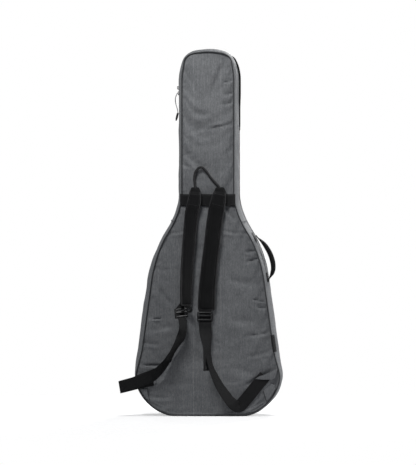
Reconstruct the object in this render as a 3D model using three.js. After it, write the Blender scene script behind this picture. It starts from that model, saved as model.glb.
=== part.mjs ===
// A padded gig bag for a full-size acoustic guitar, empty, closed and standing on its base.
// Millimetres. +Z is up, +Y points to the front (the lid), so the shoulder straps are on the -Y
// side, and +X is to the right as the back is looked at. The origin is on the base, on the
// bag's centre line.
import * as THREE from 'three';

// ---- driving dimensions ----
const GAP = 0.3; // between pieces that touch
const HEIGHT = 1130;
const BASE_HALF = 100; // flat stretch of the base, each side of the centre line
const BOUT_HALF = 223; // widest half width, at BOUT_Z
const BOUT_Z = 142;
const SHOULDER_HALF = 185; // where the straight side ends, at SHOULDER_Z
const SHOULDER_Z = 418;
const WAIST = [135, 565]; // the outline's bend between shoulder and neck: half width and height
const NECK_HALF = 92.5;
const NECK_Z = 690; // the neck's sides are upright from here to NECK_TOP_Z
const NECK_TOP_Z = 1035;

const BACK_Y = -80; // outer face of the back panel
const FRONT_Y = [85, 30]; // outer face of the lid, at the base and at the top
const ZIP_Y = [35, 5]; // plane of the main zip, at the base and at the top
const FLARE = 10; // how far a panel's edge lies inside the zip's outline
const FLARE_Z = [105, 215]; // the flare starts and is complete at these heights
const HEAD_CORNER = { z: 1104, reach: 20, share: 0.68 }; // the flare narrows at the head's corners

const CLOTH = 2; // outer cloth with its backing
const PANEL_FOAM = 18;
const LID_FOAM = 15;
const LINING = 1.3;
const GUSSET_FOAM = [5, 15]; // inner and outer depth of the gusset's foam below the outline
const TAPE = 8; // width of each half of the main zip's tape
const PIPING_R = 2.5;

const STRAP_WIDTH = 50;
const STRAP_THICK = 12;
const WEBBING = 38;
const WEBBING_THICK = 1.8;
const BAND_Z = [645, 682]; // the strap anchor band's lower and upper edge
const BAND_THICK = 6;

// ---- materials ----
const material = (color, roughness, metalness = 0) =>
  new THREE.MeshStandardMaterial({ color, roughness, metalness });
const HEATHER = material(0x6f7274, 0.92);
const FOAM = material(0x3c3d40, 0.95);
const PLUSH = material(0x2b2d31, 0.98);
const TRIM = material(0x2d2e30, 0.8);
const WEB = material(0x17181a, 0.75);
const PLASTIC = material(0x101012, 0.4);
const METAL = material(0x3a3b3d, 0.35, 0.9);
const CORD = material(0x8d9092, 0.8);

const bag = new THREE.Group();

function add(name, geometry, finish) {
  const mesh = new THREE.Mesh(geometry, finish);
  mesh.name = name;
  bag.add(mesh);
}

// ---- the planes of the bag ----
const mix = (a, b, t) => a + (b - a) * t;
const zipY = (z) => mix(...ZIP_Y, z / HEIGHT);
const frontY = (z) => mix(...FRONT_Y, z / HEIGHT);
const backY = () => BACK_Y;
const fromCorner = (z) => (z - HEAD_CORNER.z) / HEAD_CORNER.reach;
const cornerShare = (z) => HEAD_CORNER.share * Math.exp(-(fromCorner(z) ** 2));
const flareShare = (z) => THREE.MathUtils.smoothstep(z, ...FLARE_Z) * (1 - cornerShare(z));

// ---- the outline, seen from behind: stations with a point and a normal that points inwards ----
function rightSide() {
  const slope = (SHOULDER_HALF - BOUT_HALF) / (SHOULDER_Z - BOUT_Z);
  const path = new THREE.Path();
  path.moveTo(0, 0);
  path.lineTo(BASE_HALF, 0);
  path.bezierCurveTo(BASE_HALF + 60, 0, BOUT_HALF - 76 * slope, BOUT_Z - 76, BOUT_HALF, BOUT_Z);
  path.lineTo(SHOULDER_HALF, SHOULDER_Z);
  const [waistX, waistZ] = WAIST;
  path.bezierCurveTo(SHOULDER_HALF + 50 * slope, SHOULDER_Z + 50, waistX + 24, waistZ - 38, ...WAIST);
  path.bezierCurveTo(waistX - 21, waistZ + 34, NECK_HALF, NECK_Z - 50, NECK_HALF, NECK_Z);
  path.lineTo(NECK_HALF, NECK_TOP_Z);
  path.bezierCurveTo(NECK_HALF, NECK_TOP_Z + 47, 72, HEIGHT - 14, 45, HEIGHT - 6);
  path.quadraticCurveTo(22, HEIGHT, 0, HEIGHT);
  return path.curves;
}

// how many steps each curve of rightSide() takes
const STEPS = { base: 1, corner: 5, side: 3, shoulder: 4, waist: 3, neck: 1, headCorner: 4, head: 2 };

function outlineStations() {
  const right = [];
  const counts = Object.values(STEPS);
  rightSide().forEach((curve, i) => {
    for (let k = 0; k < counts[i]; k += 1) {
      const t = k / counts[i];
      const [p, d] = [curve.getPoint(t), curve.getTangent(t)];
      right.push({ x: p.x, z: p.y, nx: -d.y, nz: d.x });
    }
  });
  const top = { x: 0, z: HEIGHT, nx: 0, nz: -1 };
  const left = right.slice(1).reverse().map((s) => ({ ...s, x: -s.x, nx: -s.nx }));
  return [...right, top, ...left];
}

const STATIONS = outlineStations();
const hingeStart = STEPS.base + STEPS.corner;
const hingeEnd = hingeStart + STEPS.side;
const neckStart = hingeEnd + STEPS.shoulder + 1; // just above the waist
const mirrored = (i) => STATIONS.length - i;

// A point of the gusset: inset from the outline; side is 0 at the zip plane and 1 at the panel's
// face, whose plane is face(z); shift moves it along Y from there.
function gussetPoint(s, [inset, side, shift], face) {
  const depth = inset + FLARE * side * flareShare(s.z);
  const z = s.z + s.nz * depth;
  return new THREE.Vector3(s.x + s.nx * depth, mix(zipY(z), face(z), side) + shift, z);
}

function outlineShape(inset, side = 1) {
  const points = STATIONS.map((s) => gussetPoint(s, [inset, side, 0], backY));
  return new THREE.Shape(points.map((p) => new THREE.Vector2(p.x, p.z)));
}

// ---- shared solids ----
function closedGeometry(points, faces) {
  const geometry = new THREE.BufferGeometry();
  const flat = points.flatMap((p) => [p.x, p.y, p.z]);
  geometry.setAttribute('position', new THREE.Float32BufferAttribute(flat, 3));
  const volume = faces.reduce((sum, [a, b, c]) => {
    const cross = new THREE.Vector3().crossVectors(points[b], points[c]);
    return sum + points[a].dot(cross);
  }, 0);
  const outward = volume > 0 ? faces : faces.map(([a, b, c]) => [a, c, b]);
  geometry.setIndex(outward.flat());
  geometry.computeVertexNormals();
  return geometry;
}

// A solid through a row of matching cross-sections; loop joins the last section to the first.
function sweep(sections, loop = false) {
  const n = sections[0].length;
  const points = sections.flat();
  const faces = [];
  const spans = loop ? sections.length : sections.length - 1;
  for (let i = 0; i < spans; i += 1) {
    const a = i * n;
    const b = ((i + 1) % sections.length) * n;
    for (let k = 0; k < n; k += 1) {
      const next = (k + 1) % n;
      const [p, q, r, s] = [a + k, a + next, b + next, b + k];
      const short = points[p].distanceTo(points[r]) <= points[q].distanceTo(points[s]);
      faces.push(...(short ? [[p, q, r], [p, r, s]] : [[p, q, s], [q, r, s]]));
    }
  }
  if (!loop) {
    const last = (sections.length - 1) * n;
    for (let k = 1; k < n - 1; k += 1) {
      faces.push([0, k + 1, k], [last, last + k, last + k + 1]);
    }
  }
  return closedGeometry(points, faces);
}

// A band of the gusset between two stations, or all round; corners are its cross-section.
function gusset(corners, face, from = 0, to = STATIONS.length) {
  const whole = to - from >= STATIONS.length;
  const sections = [];
  for (let i = from; i < to + (whole ? 0 : 1); i += 1) {
    const station = STATIONS[i % STATIONS.length];
    sections.push(corners.map((corner) => gussetPoint(station, corner, face)));
  }
  return sweep(sections, whole);
}

// Draws a gusset band a hair short at both ends, so that two bands end to end stay clear.
function trimmed(geometry, isBody) {
  const position = geometry.getAttribute('position');
  for (let i = 0; i < position.count; i += 1) {
    const shift = isBody ? -GAP / 2 : GAP / 2;
    if (Math.abs(position.getZ(i) - joinZ) < JOIN_REACH) position.setZ(i, position.getZ(i) + shift);
  }
  return geometry;
}
const joinZ = STATIONS[neckStart].z;
const JOIN_REACH = 25;

// A flat sheet with the outline of a shape in X and Z, between two planes low(z) and high(z).
function panel(shape, low, high) {
  const geometry = new THREE.ExtrudeGeometry(shape, { depth: 1, bevelEnabled: false, curveSegments: 6 });
  geometry.rotateX(Math.PI / 2);
  const position = geometry.getAttribute('position');
  for (let i = 0; i < position.count; i += 1) {
    const z = position.getZ(i);
    position.setY(i, mix(high(z), low(z), -position.getY(i)));
  }
  return geometry;
}

// A round cord bent round the outline, on a panel's edge.
function piping(face, lift) {
  const inset = PIPING_R + GAP;
  const sides = 6;
  const corners = Array.from({ length: sides }, (_, k) => {
    const angle = (2 * Math.PI * k) / sides;
    return [inset + PIPING_R * Math.cos(angle), 1, lift + PIPING_R * Math.sin(angle)];
  });
  return gusset(corners, face);
}

// A flat band along the back panel: each step is [x, z, lift, turn, width]. lift is how far its
// nearer edge stands off the panel, and turn swings the band's far edge away from the panel.
function flatBand(steps, thick) {
  const points = steps.map(([x, z, lift, turn = 0, width = WEBBING]) => {
    const reach = (width * Math.sin(Math.abs(turn)) + thick) / 2;
    return new THREE.Vector3(x, BACK_Y - lift - reach, z);
  });
  return sweep(steps.map(([, , , turn = 0, width = WEBBING], i) => {
    const along = points[Math.min(i + 1, points.length - 1)].clone();
    along.sub(points[Math.max(i - 1, 0)]).normalize();
    const facing = new THREE.Vector3(Math.sin(turn), -Math.cos(turn), 0);
    const across = new THREE.Vector3().crossVectors(along, facing).normalize();
    const out = new THREE.Vector3().crossVectors(across, along).normalize();
    return [[-1, -1], [1, -1], [1, 1], [-1, 1]].map(([u, v]) => points[i].clone()
      .addScaledVector(across, (u * width) / 2)
      .addScaledVector(out, (v * thick) / 2));
  }));
}

function roundTube(points, radius, sides, steps) {
  const shape = new THREE.Shape();
  for (let k = 0; k < sides; k += 1) {
    const angle = (2 * Math.PI * k) / sides;
    shape[k ? 'lineTo' : 'moveTo'](radius * Math.cos(angle), radius * Math.sin(angle));
  }
  const path = new THREE.CatmullRomCurve3(points.map((p) => new THREE.Vector3(...p)));
  return new THREE.ExtrudeGeometry(shape, { steps, bevelEnabled: false, extrudePath: path });
}

// A block with rounded corners in the plane it is drawn in, thick along Z, centred on the origin.
function roundedPlate(width, height, thick, radius, holes = []) {
  const shape = new THREE.Shape();
  const [w, h] = [width / 2 - radius, height / 2 - radius];
  shape.absarc(w, -h, radius, -Math.PI / 2, 0);
  shape.absarc(w, h, radius, 0, Math.PI / 2);
  shape.absarc(-w, h, radius, Math.PI / 2, Math.PI);
  shape.absarc(-w, -h, radius, Math.PI, 1.5 * Math.PI);
  shape.holes = holes;
  const settings = { depth: thick, bevelEnabled: false, curveSegments: 3 };
  const geometry = new THREE.ExtrudeGeometry(shape, settings);
  return geometry.translate(0, 0, -thick / 2);
}

function slot(width, height, y) {
  const path = new THREE.Path();
  path.moveTo(-width / 2, y - height / 2);
  path.lineTo(-width / 2, y + height / 2);
  path.lineTo(width / 2, y + height / 2);
  path.lineTo(width / 2, y - height / 2);
  path.closePath();
  return path;
}

// ---- the shell: back panel and rear gusset ----
const panelEdge = CLOTH + GAP; // a panel's layers end just inside the gusset's cloth
const backFoamY = BACK_Y + CLOTH + GAP;
const backLiningY = backFoamY + PANEL_FOAM + GAP;
const backInnerY = backLiningY + LINING;
const at = (y) => () => y;

function shell() {
  const edge = outlineShape(panelEdge);
  add('back_cover', panel(edge, backY, at(BACK_Y + CLOTH)), HEATHER);
  add('back_foam', panel(edge, at(backFoamY), at(backFoamY + PANEL_FOAM)), FOAM);
  add('back_lining', panel(edge, at(backLiningY), at(backInnerY)), PLUSH);

  const cover = [[0, 0, -TAPE - GAP], [0, 1, 0], [CLOTH, 1, 0], [CLOTH, 0, -TAPE - GAP]];
  const body = gusset(cover, backY, mirrored(neckStart), STATIONS.length + neckStart);
  add('rear_gusset_body', trimmed(body, true), HEATHER);
  add('rear_gusset_neck', trimmed(gusset(cover, backY, neckStart, mirrored(neckStart)), false), HEATHER);

  const inner = backInnerY - BACK_Y + GAP;
  const [near, far] = GUSSET_FOAM;
  const lined = [far + GAP, far + GAP + LINING];
  add('rear_gusset_foam', gusset(
    [[near, 0, -GAP], [near, 1, inner], [far, 1, inner], [far, 0, -GAP]],
    backY,
  ), FOAM);
  add('rear_gusset_lining', gusset(
    [[lined[0], 0, -GAP], [lined[0], 1, inner], [lined[1], 1, inner], [lined[1], 0, -GAP]],
    backY,
  ), PLUSH);
  add('back_piping', piping(backY, -PIPING_R - GAP), TRIM);
}

// ---- the lid: front panel and front gusset ----
const lidFoamY = CLOTH + GAP; // depths below the lid's outer face
const lidLiningY = lidFoamY + LID_FOAM + GAP;
const lidInnerY = lidLiningY + LINING;
const below = (depth) => (z) => frontY(z) - depth;

function lid() {
  const edge = outlineShape(panelEdge);
  add('lid_cover', panel(edge, below(CLOTH), frontY), HEATHER);
  add('lid_foam', panel(edge, below(lidFoamY + LID_FOAM), below(lidFoamY)), FOAM);
  add('lid_lining', panel(edge, below(lidInnerY), below(lidLiningY)), PLUSH);

  const cover = [[0, 0, TAPE + GAP], [0, 1, 0], [CLOTH, 1, 0], [CLOTH, 0, TAPE + GAP]];
  add('front_gusset', gusset(cover, frontY), HEATHER);
  const inner = -lidInnerY - GAP;
  const [near, far] = GUSSET_FOAM;
  const lined = [far + GAP, far + GAP + LINING];
  add('front_gusset_foam', gusset(
    [[near, 0, GAP], [near, 1, inner], [far, 1, inner], [far, 0, GAP]],
    frontY,
  ), FOAM);
  add('front_gusset_lining', gusset(
    [[lined[0], 0, GAP], [lined[0], 1, inner], [lined[1], 1, inner], [lined[1], 0, GAP]],
    frontY,
  ), PLUSH);
  add('front_piping', piping(frontY, PIPING_R + GAP), TRIM);
}

// ---- the main zip, from the top of the cloth hinge over the head to the bottom of the hinge ----
const TAPE_INSET = [3, 4.5];
const TEETH_INSET = [0.6, 2.7];
const TEETH_REACH = 2.8; // how far each row of teeth reaches from the zip plane

// Corners of a flat strip along the zip, between two depths below the gusset's face.
function strip([top, bottom], near, far) {
  return [[top, 0, near], [top, 0, far], [bottom, 0, far], [bottom, 0, near]];
}

function mainZip() {
  const around = [hingeEnd, STATIONS.length + hingeStart];
  for (const [part, sign, face] of [['shell', -1, backY], ['lid', 1, frontY]]) {
    const tape = strip(TAPE_INSET, sign * GAP, sign * TAPE);
    add(`zip_tape_${part}`, gusset(tape, face, ...around), WEB);
    const teeth = strip(TEETH_INSET, sign * GAP, sign * TEETH_REACH);
    add(`zip_teeth_${part}`, gusset(teeth, face, ...around), PLASTIC);
    add(`hinge_cloth_${part}`, hingeCloth(tape, face), TRIM);
  }
}

// The cloth hinge fills the stretch that the zip leaves, clear of the tape's ends.
function hingeCloth(corners, face) {
  const ends = [STATIONS[hingeStart], STATIONS[hingeEnd]];
  const length = Math.hypot(ends[1].x - ends[0].x, ends[1].z - ends[0].z);
  const sections = [GAP / length, 1 / 3, 2 / 3, 1 - GAP / length].map((t) => {
    const s = { ...ends[0], x: mix(ends[0].x, ends[1].x, t), z: mix(ends[0].z, ends[1].z, t) };
    return corners.map((corner) => gussetPoint(s, corner, face));
  });
  return sweep(sections);
}

// ---- sliders and pulls of the main zip, on the upright left side of the neck ----
const SLIDER = { width: 9, length: 14, thick: 4.5 };
const LOWER_SLIDER_Z = 996;
const UPPER_SLIDER_Z = 1012;
const sliderX = -NECK_HALF - SLIDER.thick / 2 - GAP + 0.6;
const pullX = sliderX - SLIDER.thick / 2 - 2.2;

function sidewaysPlate(width, height, thick, radius, [x, y, z], turn = 0) {
  const geometry = roundedPlate(width, height, thick, radius);
  geometry.rotateX(Math.PI / 2);
  geometry.rotateZ(Math.PI / 2);
  geometry.rotateX(turn);
  return geometry.translate(x, y, z);
}

function mainSliders() {
  const lean = Math.atan((ZIP_Y[0] - ZIP_Y[1]) / HEIGHT);
  for (const [name, z] of [['zip_slider_lower', LOWER_SLIDER_Z], ['zip_slider_upper', UPPER_SLIDER_Z]]) {
    const place = [sliderX, zipY(z), z];
    add(name, sidewaysPlate(SLIDER.width, SLIDER.length, SLIDER.thick, 2, place, lean), METAL);
  }
  const y = zipY(LOWER_SLIDER_Z);
  const top = LOWER_SLIDER_Z - 3;
  const cordDrop = 58;
  const route = [
    [pullX, y - 2.4, top],
    [pullX - 1, y - 3.2, top - 18],
    [pullX - 0.4, y - 2.6, top - 38],
    [pullX, y - 1.6, top - cordDrop],
  ];
  const back = route.map(([x, v, z]) => [x, 2 * y - v, z]).reverse();
  const bend = [pullX, y, top + 3.5];
  const cord = [...back, bend, ...route];
  add('zip_pull_cord', roundTube(cord, 1.2, 8, 44), CORD);
  const gripTall = 24;
  const gripAt = [pullX, y, top - cordDrop - gripTall / 2 - GAP];
  add('zip_pull_grip', sidewaysPlate(9, gripTall, 5, 2.2, gripAt), PLASTIC);
  const tabZ = UPPER_SLIDER_Z + 1;
  add('zip_pull_tab', sidewaysPlate(6, 11, 1.6, 2, [pullX, zipY(tabZ), tabZ]), METAL);
}

// ---- front pockets on the lid, lying flat ----
const POCKET_THICK = 7;
const POCKET_ZIP = 12; // height of a pocket zip's strip

function pocketShape(bottom, top, halfBottom, halfTop, radius) {
  const shape = new THREE.Shape();
  shape.moveTo(-halfBottom + radius, bottom);
  shape.lineTo(halfBottom - radius, bottom);
  shape.quadraticCurveTo(halfBottom, bottom, halfBottom, bottom + radius);
  shape.lineTo(halfTop, top);
  shape.lineTo(-halfTop, top);
  shape.lineTo(-halfBottom, bottom + radius);
  shape.quadraticCurveTo(-halfBottom, bottom, -halfBottom + radius, bottom);
  return shape;
}

const POCKETS = [
  { name: 'body_pocket', bottom: 52, top: 420, halfBottom: 178, halfTop: 150, radius: 90, slider: -142 },
  { name: 'head_pocket', bottom: 720, top: 1020, halfBottom: 66, halfTop: 66, radius: 24, slider: -58 },
];
const raised = (lift) => (z) => frontY(z) + lift;

function pockets() {
  const lean = Math.atan((FRONT_Y[0] - FRONT_Y[1]) / HEIGHT);
  for (const { name, bottom, top, halfBottom, halfTop, radius, slider } of POCKETS) {
    const shape = pocketShape(bottom, top, halfBottom, halfTop, radius);
    add(name, panel(shape, raised(GAP), raised(POCKET_THICK)), HEATHER);
    const low = top + GAP;
    const strip = pocketShape(low, low + POCKET_ZIP, halfTop, halfTop, 0.01);
    add(`${name}_zip`, panel(strip, raised(GAP), raised(3)), WEB);
    const z = low + POCKET_ZIP / 2;
    const piece = (width, height, thick, lift, drop) => {
      const geometry = roundedPlate(width, height, thick, 2);
      geometry.rotateX(Math.PI / 2 + lean);
      return geometry.translate(slider, frontY(z - drop) + lift, z - drop);
    };
    add(`${name}_slider`, piece(12, 8, 3.6, 5.3, 0), METAL);
    add(`${name}_pull`, piece(5, 26, 1.8, POCKET_THICK + 2.2, 13), METAL);
  }
}

// ---- shoulder straps, with their band, cuffs, buckles and webbing ----
const STRAPS = [
  {
    side: 'left',
    cuff: { x: -38, width: 34 },
    pad: [[-44, 637], [-52, 560], [-58, 480], [-62, 410], [-65, 354]],
    turn: 0.35,
    keeper: [[-67.5, 346.5], [-70.8, 337.5]],
    buckle: { x: -76, z: 322, roll: 0.32 },
    tail: [[-79, 298, 13, 0.2], [-79, 282, 13, 0.2], [-81, 260, 13, 0.2], [-89, 235, 13, 0.3],
      [-103, 202, 13, 0.6], [-118, 179, 13, 0.8], [-135, 158, 13, 0.9]],
  },
  {
    side: 'right',
    cuff: { x: 38, width: 37 },
    pad: [[30, 637], [20, 560], [10, 480], [4, 410], [-4, 333]],
    turn: 0,
    keeper: [[-6.7, 329.8], [-7, 322.8]],
    buckle: { x: -8, z: 306.3, roll: 0 },
    tail: [
      [-8, 291.5, 7, 0], [-7, 249, 8, 0.2], [-4, 218, 13, 0.8], [-2, 180, 18, 1.1], [-1, 139, 18, 1.15],
    ],
  },
];
const PAD_LIFT = 2;
const END_NARROWING = 10; // how much narrower a pad's stitched lower end is

function shoulderStraps() {
  const bandHalf = 72;
  const [bandLow, bandHigh] = BAND_Z;
  const band = new THREE.BoxGeometry(2 * bandHalf, BAND_THICK, bandHigh - bandLow);
  band.translate(0, BACK_Y - GAP - BAND_THICK / 2, (bandLow + bandHigh) / 2);
  add('strap_anchor_band', band, WEB);
  for (const { side, cuff, pad, turn, keeper, buckle, tail } of STRAPS) {
    const low = bandHigh + GAP;
    const cuffSteps = [[0, 0], [12, 0], [17.5, -14]];
    add(`strap_cuff_${side}`, flatBand(
      cuffSteps.map(([rise, spread]) => [cuff.x, low + rise, GAP, 0, cuff.width + spread]),
      9.4,
    ), WEB);
    const last = pad.length - 1;
    const twist = (i) => turn * THREE.MathUtils.smoothstep(i / last, 0.4, 1);
    const padWidth = (i) => STRAP_WIDTH - (i === last ? END_NARROWING : 0);
    const padSteps = pad.map(([x, z], i) => [x, z, PAD_LIFT, twist(i), padWidth(i)]);
    add(`shoulder_strap_${side}`, flatBand(padSteps, STRAP_THICK), WEB);
    const endDepth = PAD_LIFT + STRAP_THICK / 2 + (padWidth(last) / 2) * Math.sin(turn);
    const keeperWidth = 34;
    const keeperLift = endDepth - 1.5 - (keeperWidth / 2) * Math.sin(turn);
    const keeperSteps = keeper.map(([x, z]) => [x, z, keeperLift, turn, keeperWidth]);
    add(`strap_keeper_${side}`, flatBand(keeperSteps, 3), WEB);
    add(`buckle_${side}`, buckleGeometry(buckle, BACK_Y - endDepth, turn), PLASTIC);
    add(`webbing_tail_${side}`, flatBand(tail, WEBBING_THICK), WEB);
  }
}

const BUCKLE = { width: 47, height: 27, thick: 5, slotWidth: 38, slotHeight: 6 };

function buckleGeometry({ x, z, roll }, y, turn) {
  const { width, height, thick, slotWidth, slotHeight } = BUCKLE;
  const holes = [7, -6].map((v) => slot(slotWidth, slotHeight, v));
  const geometry = roundedPlate(width, height, thick, 3, holes);
  geometry.rotateX(Math.PI / 2);
  geometry.rotateY(roll);
  geometry.rotateZ(turn);
  return geometry.translate(x, y, z);
}

// The webbing between each wing and buckle. Each run folds flat once, near its wing.
function lowerWebbing() {
  const overPiping = 2 * PIPING_R + 2 * GAP;
  const second = overPiping + WEBBING_THICK + GAP; // lies on the anchored run
  add('anchor_webbing_left', flatBand([
    [-190, 108, GAP],
    [-203, 105, overPiping],
    [-232, 98, overPiping],
    [-268, 89, overPiping],
  ], WEBBING_THICK), WEB);
  add('lower_webbing_left', flatBand([
    [-266, 89, second],
    [-225, 101, second],
    [-190, 115, second],
    [-159, 133, second],
    [-131, 162, second],
    [-106, 202, second],
    [-90, 240, second],
    [-81, 284, second],
  ], WEBBING_THICK), WEB);
  add('anchor_webbing_right', flatBand([
    [101, 33, GAP],
    [125, 61, GAP],
    [150, 92, GAP],
    [169, 116, GAP],
  ], WEBBING_THICK), WEB);
  add('lower_webbing_right', flatBand([
    [96, 33, 4, 0, 30],
    [70, 68, 4, 0.3],
    [42, 100, 4, 0.5],
    [22, 132, 4, 0.4],
    [10, 168, 3, 0.2],
    [2, 210, 2, 0],
    [-4, 250, 2, 0],
    [-7, 282, 3, 0],
  ], WEBBING_THICK), WEB);
}

// A triangle of cloth that anchors each lower webbing in the side seam.
function wings() {
  const corners = {
    left: [[-184, 82], [-178, 50], [-182, 47], [-203, 82]],
    right: [[170, 76], [180, 46], [184, 49], [203, 82]],
  };
  for (const [side, outline] of Object.entries(corners)) {
    const shape = new THREE.Shape(outline.map(([x, z]) => new THREE.Vector2(x, z)));
    add(`wing_${side}`, panel(shape, at(BACK_Y - GAP - CLOTH), at(BACK_Y - GAP)), HEATHER);
  }
}

// ---- haul loop of stiff cord, standing on the strap cuffs ----
function haulLoop() {
  const y = -85;
  const route = [[-39, 706], [-40, 737], [-34, 756], [-21, 765], [-6, 755], [10, 732], [33, 706]];
  add('haul_loop', roundTube(route.map(([x, z]) => [x, y, z]), 4, 8, 22), WEB);
}

// ---- side handle on the right shoulder, and the tabs that its feet are sewn to ----
const HANDLE_Y = -36;
// Cross-sections along the handle's middle line: x, z, thickness, width. The narrow feet stand
// clear of their tabs, so that the handle can swing about the line through them.
const HANDLE = [
  [153, 547, 4, 12],
  [168, 534, 8, 22],
  [184, 511, 13, 28],
  [195, 487, 14, 30],
  [200, 463, 14, 28],
  [198, 441, 9, 22],
  [190.5, 426, 4, 12],
];

function sideHandle() {
  const centre = new THREE.Vector3(165, HANDLE_Y, 480);
  const round = [[-1, -0.7], [-0.7, -1], [0.7, -1], [1, -0.7], [1, 0.7], [0.7, 1], [-0.7, 1], [-1, 0.7]];
  const sections = HANDLE.map(([x, z, thick, width]) => {
    const p = new THREE.Vector3(x, HANDLE_Y, z);
    const out = p.clone().sub(centre).normalize();
    return round.map(([u, v]) => p.clone().addScaledVector(out, (u * thick) / 2)
      .add(new THREE.Vector3(0, (v * width) / 2, 0)));
  });
  add('side_handle', sweep(sections), WEB);
}

// A thin patch on the right side of the rear gusset, at the given heights along it and between
// two depths along Y. Its heights include each station that it crosses.
function gussetPatch(heights, [nearY, farY], thick) {
  const clear = 4 * GAP; // the gusset's quads aren't quite flat
  const sections = heights.map((z) => {
    const i = STATIONS.findIndex((s) => s.z > z);
    const [a, b] = [STATIONS[i - 1], STATIONS[i]];
    const t = (z - a.z) / (b.z - a.z);
    return [[nearY, 0], [farY, 0], [farY, thick], [nearY, thick]].map(([y, lift]) => {
      const [p, q] = [a, b].map((s) => {
        const side = (zipY(s.z) - y) / (zipY(s.z) - BACK_Y);
        return gussetPoint(s, [-clear - lift, side, 0], backY);
      });
      return p.lerp(q, t);
    });
  });
  return sweep(sections);
}

function gussetPatches() {
  const stationZ = (i) => STATIONS[i].z;
  const [tabNear, tabFar] = [HANDLE_Y - 14, HANDLE_Y + 14];
  const lowFoot = stationZ(hingeEnd) + 0.5;
  add('handle_tab_lower', gussetPatch([lowFoot, lowFoot + 26], [tabNear, tabFar], 2), WEB);
  const highFoot = stationZ(hingeEnd + STEPS.shoulder) - 0.5;
  add('handle_tab_upper', gussetPatch([highFoot - 26, highFoot], [tabNear, tabFar], 2), WEB);
  const middle = stationZ(hingeStart + 1);
  add('side_tag', gussetPatch([middle - 34, middle, middle + 14], [BACK_Y + 1, BACK_Y + 26], 1.2), WEB);
}

// ---- inside: base block, neck rest and its strap ----
function inside() {
  const floorZ = GUSSET_FOAM[1] + 2 * GAP + LINING;
  const block = new THREE.BoxGeometry(176, 86, 26);
  add('base_block', block.translate(0, backInnerY + GAP + 43, floorZ + 13), FOAM);

  const [restZ, restTall] = [800, 60];
  const [half, thick] = [61, 28];
  const rest = new THREE.Shape();
  rest.moveTo(-half, 0);
  rest.lineTo(half, 0);
  rest.lineTo(half, thick);
  rest.lineTo(30, thick);
  rest.quadraticCurveTo(0, thick - 22, -30, thick);
  rest.lineTo(-half, thick);
  rest.closePath();
  const settings = { depth: restTall, bevelEnabled: false, curveSegments: 8 };
  const cradle = new THREE.ExtrudeGeometry(rest, settings);
  add('neck_rest', cradle.translate(0, backInnerY + GAP, restZ), FOAM);
  const strap = new THREE.BoxGeometry(84, 2.4, 30);
  const strapTop = backInnerY + GAP + thick + GAP + 1.2;
  add('neck_strap', strap.translate(0, strapTop, restZ + restTall / 2), WEB);
  const hook = new THREE.BoxGeometry(16, 2.4, 30);
  add('neck_strap_hook', hook.translate(51, strapTop, restZ + restTall / 2), WEB);
}

shell();
lid();
mainZip();
mainSliders();
pockets();
shoulderStraps();
lowerWebbing();
wings();
haulLoop();
sideHandle();
gussetPatches();
inside();

export default bag;
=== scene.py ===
"""A padded gig bag for a full-size guitar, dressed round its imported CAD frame.

Lengths are in millimetres up to make(), which turns them into metres. +Z is up, +Y points to the
lid, and the shoulder straps are on the -Y side.
"""
import math

import bmesh
import bpy
import numpy as np
from mathutils import Matrix, Vector


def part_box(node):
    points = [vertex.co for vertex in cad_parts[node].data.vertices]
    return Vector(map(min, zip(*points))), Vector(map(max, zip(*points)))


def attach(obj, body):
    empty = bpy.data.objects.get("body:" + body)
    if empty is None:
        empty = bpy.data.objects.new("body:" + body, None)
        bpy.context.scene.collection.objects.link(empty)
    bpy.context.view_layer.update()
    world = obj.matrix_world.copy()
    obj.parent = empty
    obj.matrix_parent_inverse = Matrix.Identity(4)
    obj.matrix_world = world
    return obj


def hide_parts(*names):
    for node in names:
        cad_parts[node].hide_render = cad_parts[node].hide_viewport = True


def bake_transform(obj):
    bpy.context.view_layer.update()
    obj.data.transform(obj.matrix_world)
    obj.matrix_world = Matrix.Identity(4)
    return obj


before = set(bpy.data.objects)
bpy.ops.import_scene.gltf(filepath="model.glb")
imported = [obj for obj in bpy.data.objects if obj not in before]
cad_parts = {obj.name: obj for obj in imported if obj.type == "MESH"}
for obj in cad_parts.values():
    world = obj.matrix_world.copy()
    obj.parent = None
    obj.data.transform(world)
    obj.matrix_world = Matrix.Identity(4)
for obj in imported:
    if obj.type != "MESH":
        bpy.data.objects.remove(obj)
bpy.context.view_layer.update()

MM = 0.001
HEIGHT = 1130.0
BASE_HALF = 100.0
BOUT_HALF, BOUT_Z = 223.0, 142.0
SHOULDER_HALF, SHOULDER_Z = 185.0, 418.0
NECK_HALF, NECK_Z, NECK_TOP_Z = 92.5, 690.0, 1035.0
BACK_Y = -80.0
FRONT_Y = (85.0, 30.0)
ZIP_Y = (35.0, 5.0)
FLARE = 10.0
FLARE_Z = (105.0, 215.0)
HEAD_CORNER = (1104.0, 20.0, 0.68)  # height, reach and share by which the flare narrows there
PIPING_R = 2.5
PIPING_RISE = 1.5
PIPING_SEEN_R = 1.4  # the cord inside is thinner than the room it takes
GAP = 0.3
TAPE = 8.0
WEBBING = 38.0
WEBBING_THICK = 1.8
BAND_Z = (645.0, 682.0)
BAND_HALF = 75.0
FLOOR_CLEAR = 0.2
PUFFED_Z = (330.0, 190.0)  # height and reach of the stretch where the body's left side puffs out
PUFFED = 6.5
JOIN_Z = 601.0  # height of the seam between the two pieces of the rear gusset
WAIST = (135.0, 565.0)
BASE_STATIONS = 20  # stations along the base, from its middle
BAND_PAST = 10.0  # how far the band's ends go past BAND_HALF
TAPE_EDGE = 7.9  # where each half of the zip tape ends, from the zip's plane
REAR_BULGE, FRONT_BULGE = 3.4, 2.6  # how far the side walls stand out in their middle
ZIP_EDGE_Z = (880.0, 1109.0)  # heights between which zip tape shows beside the rear side wall
ZIP_END = 45.0  # length over which the zip sinks towards the hinge
HANDLE_Y = -36.0
TAG_Z = (199.0, 251.0)
FLAP_DEPTHS = {"right": 3.2, "left": 0.6}
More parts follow.
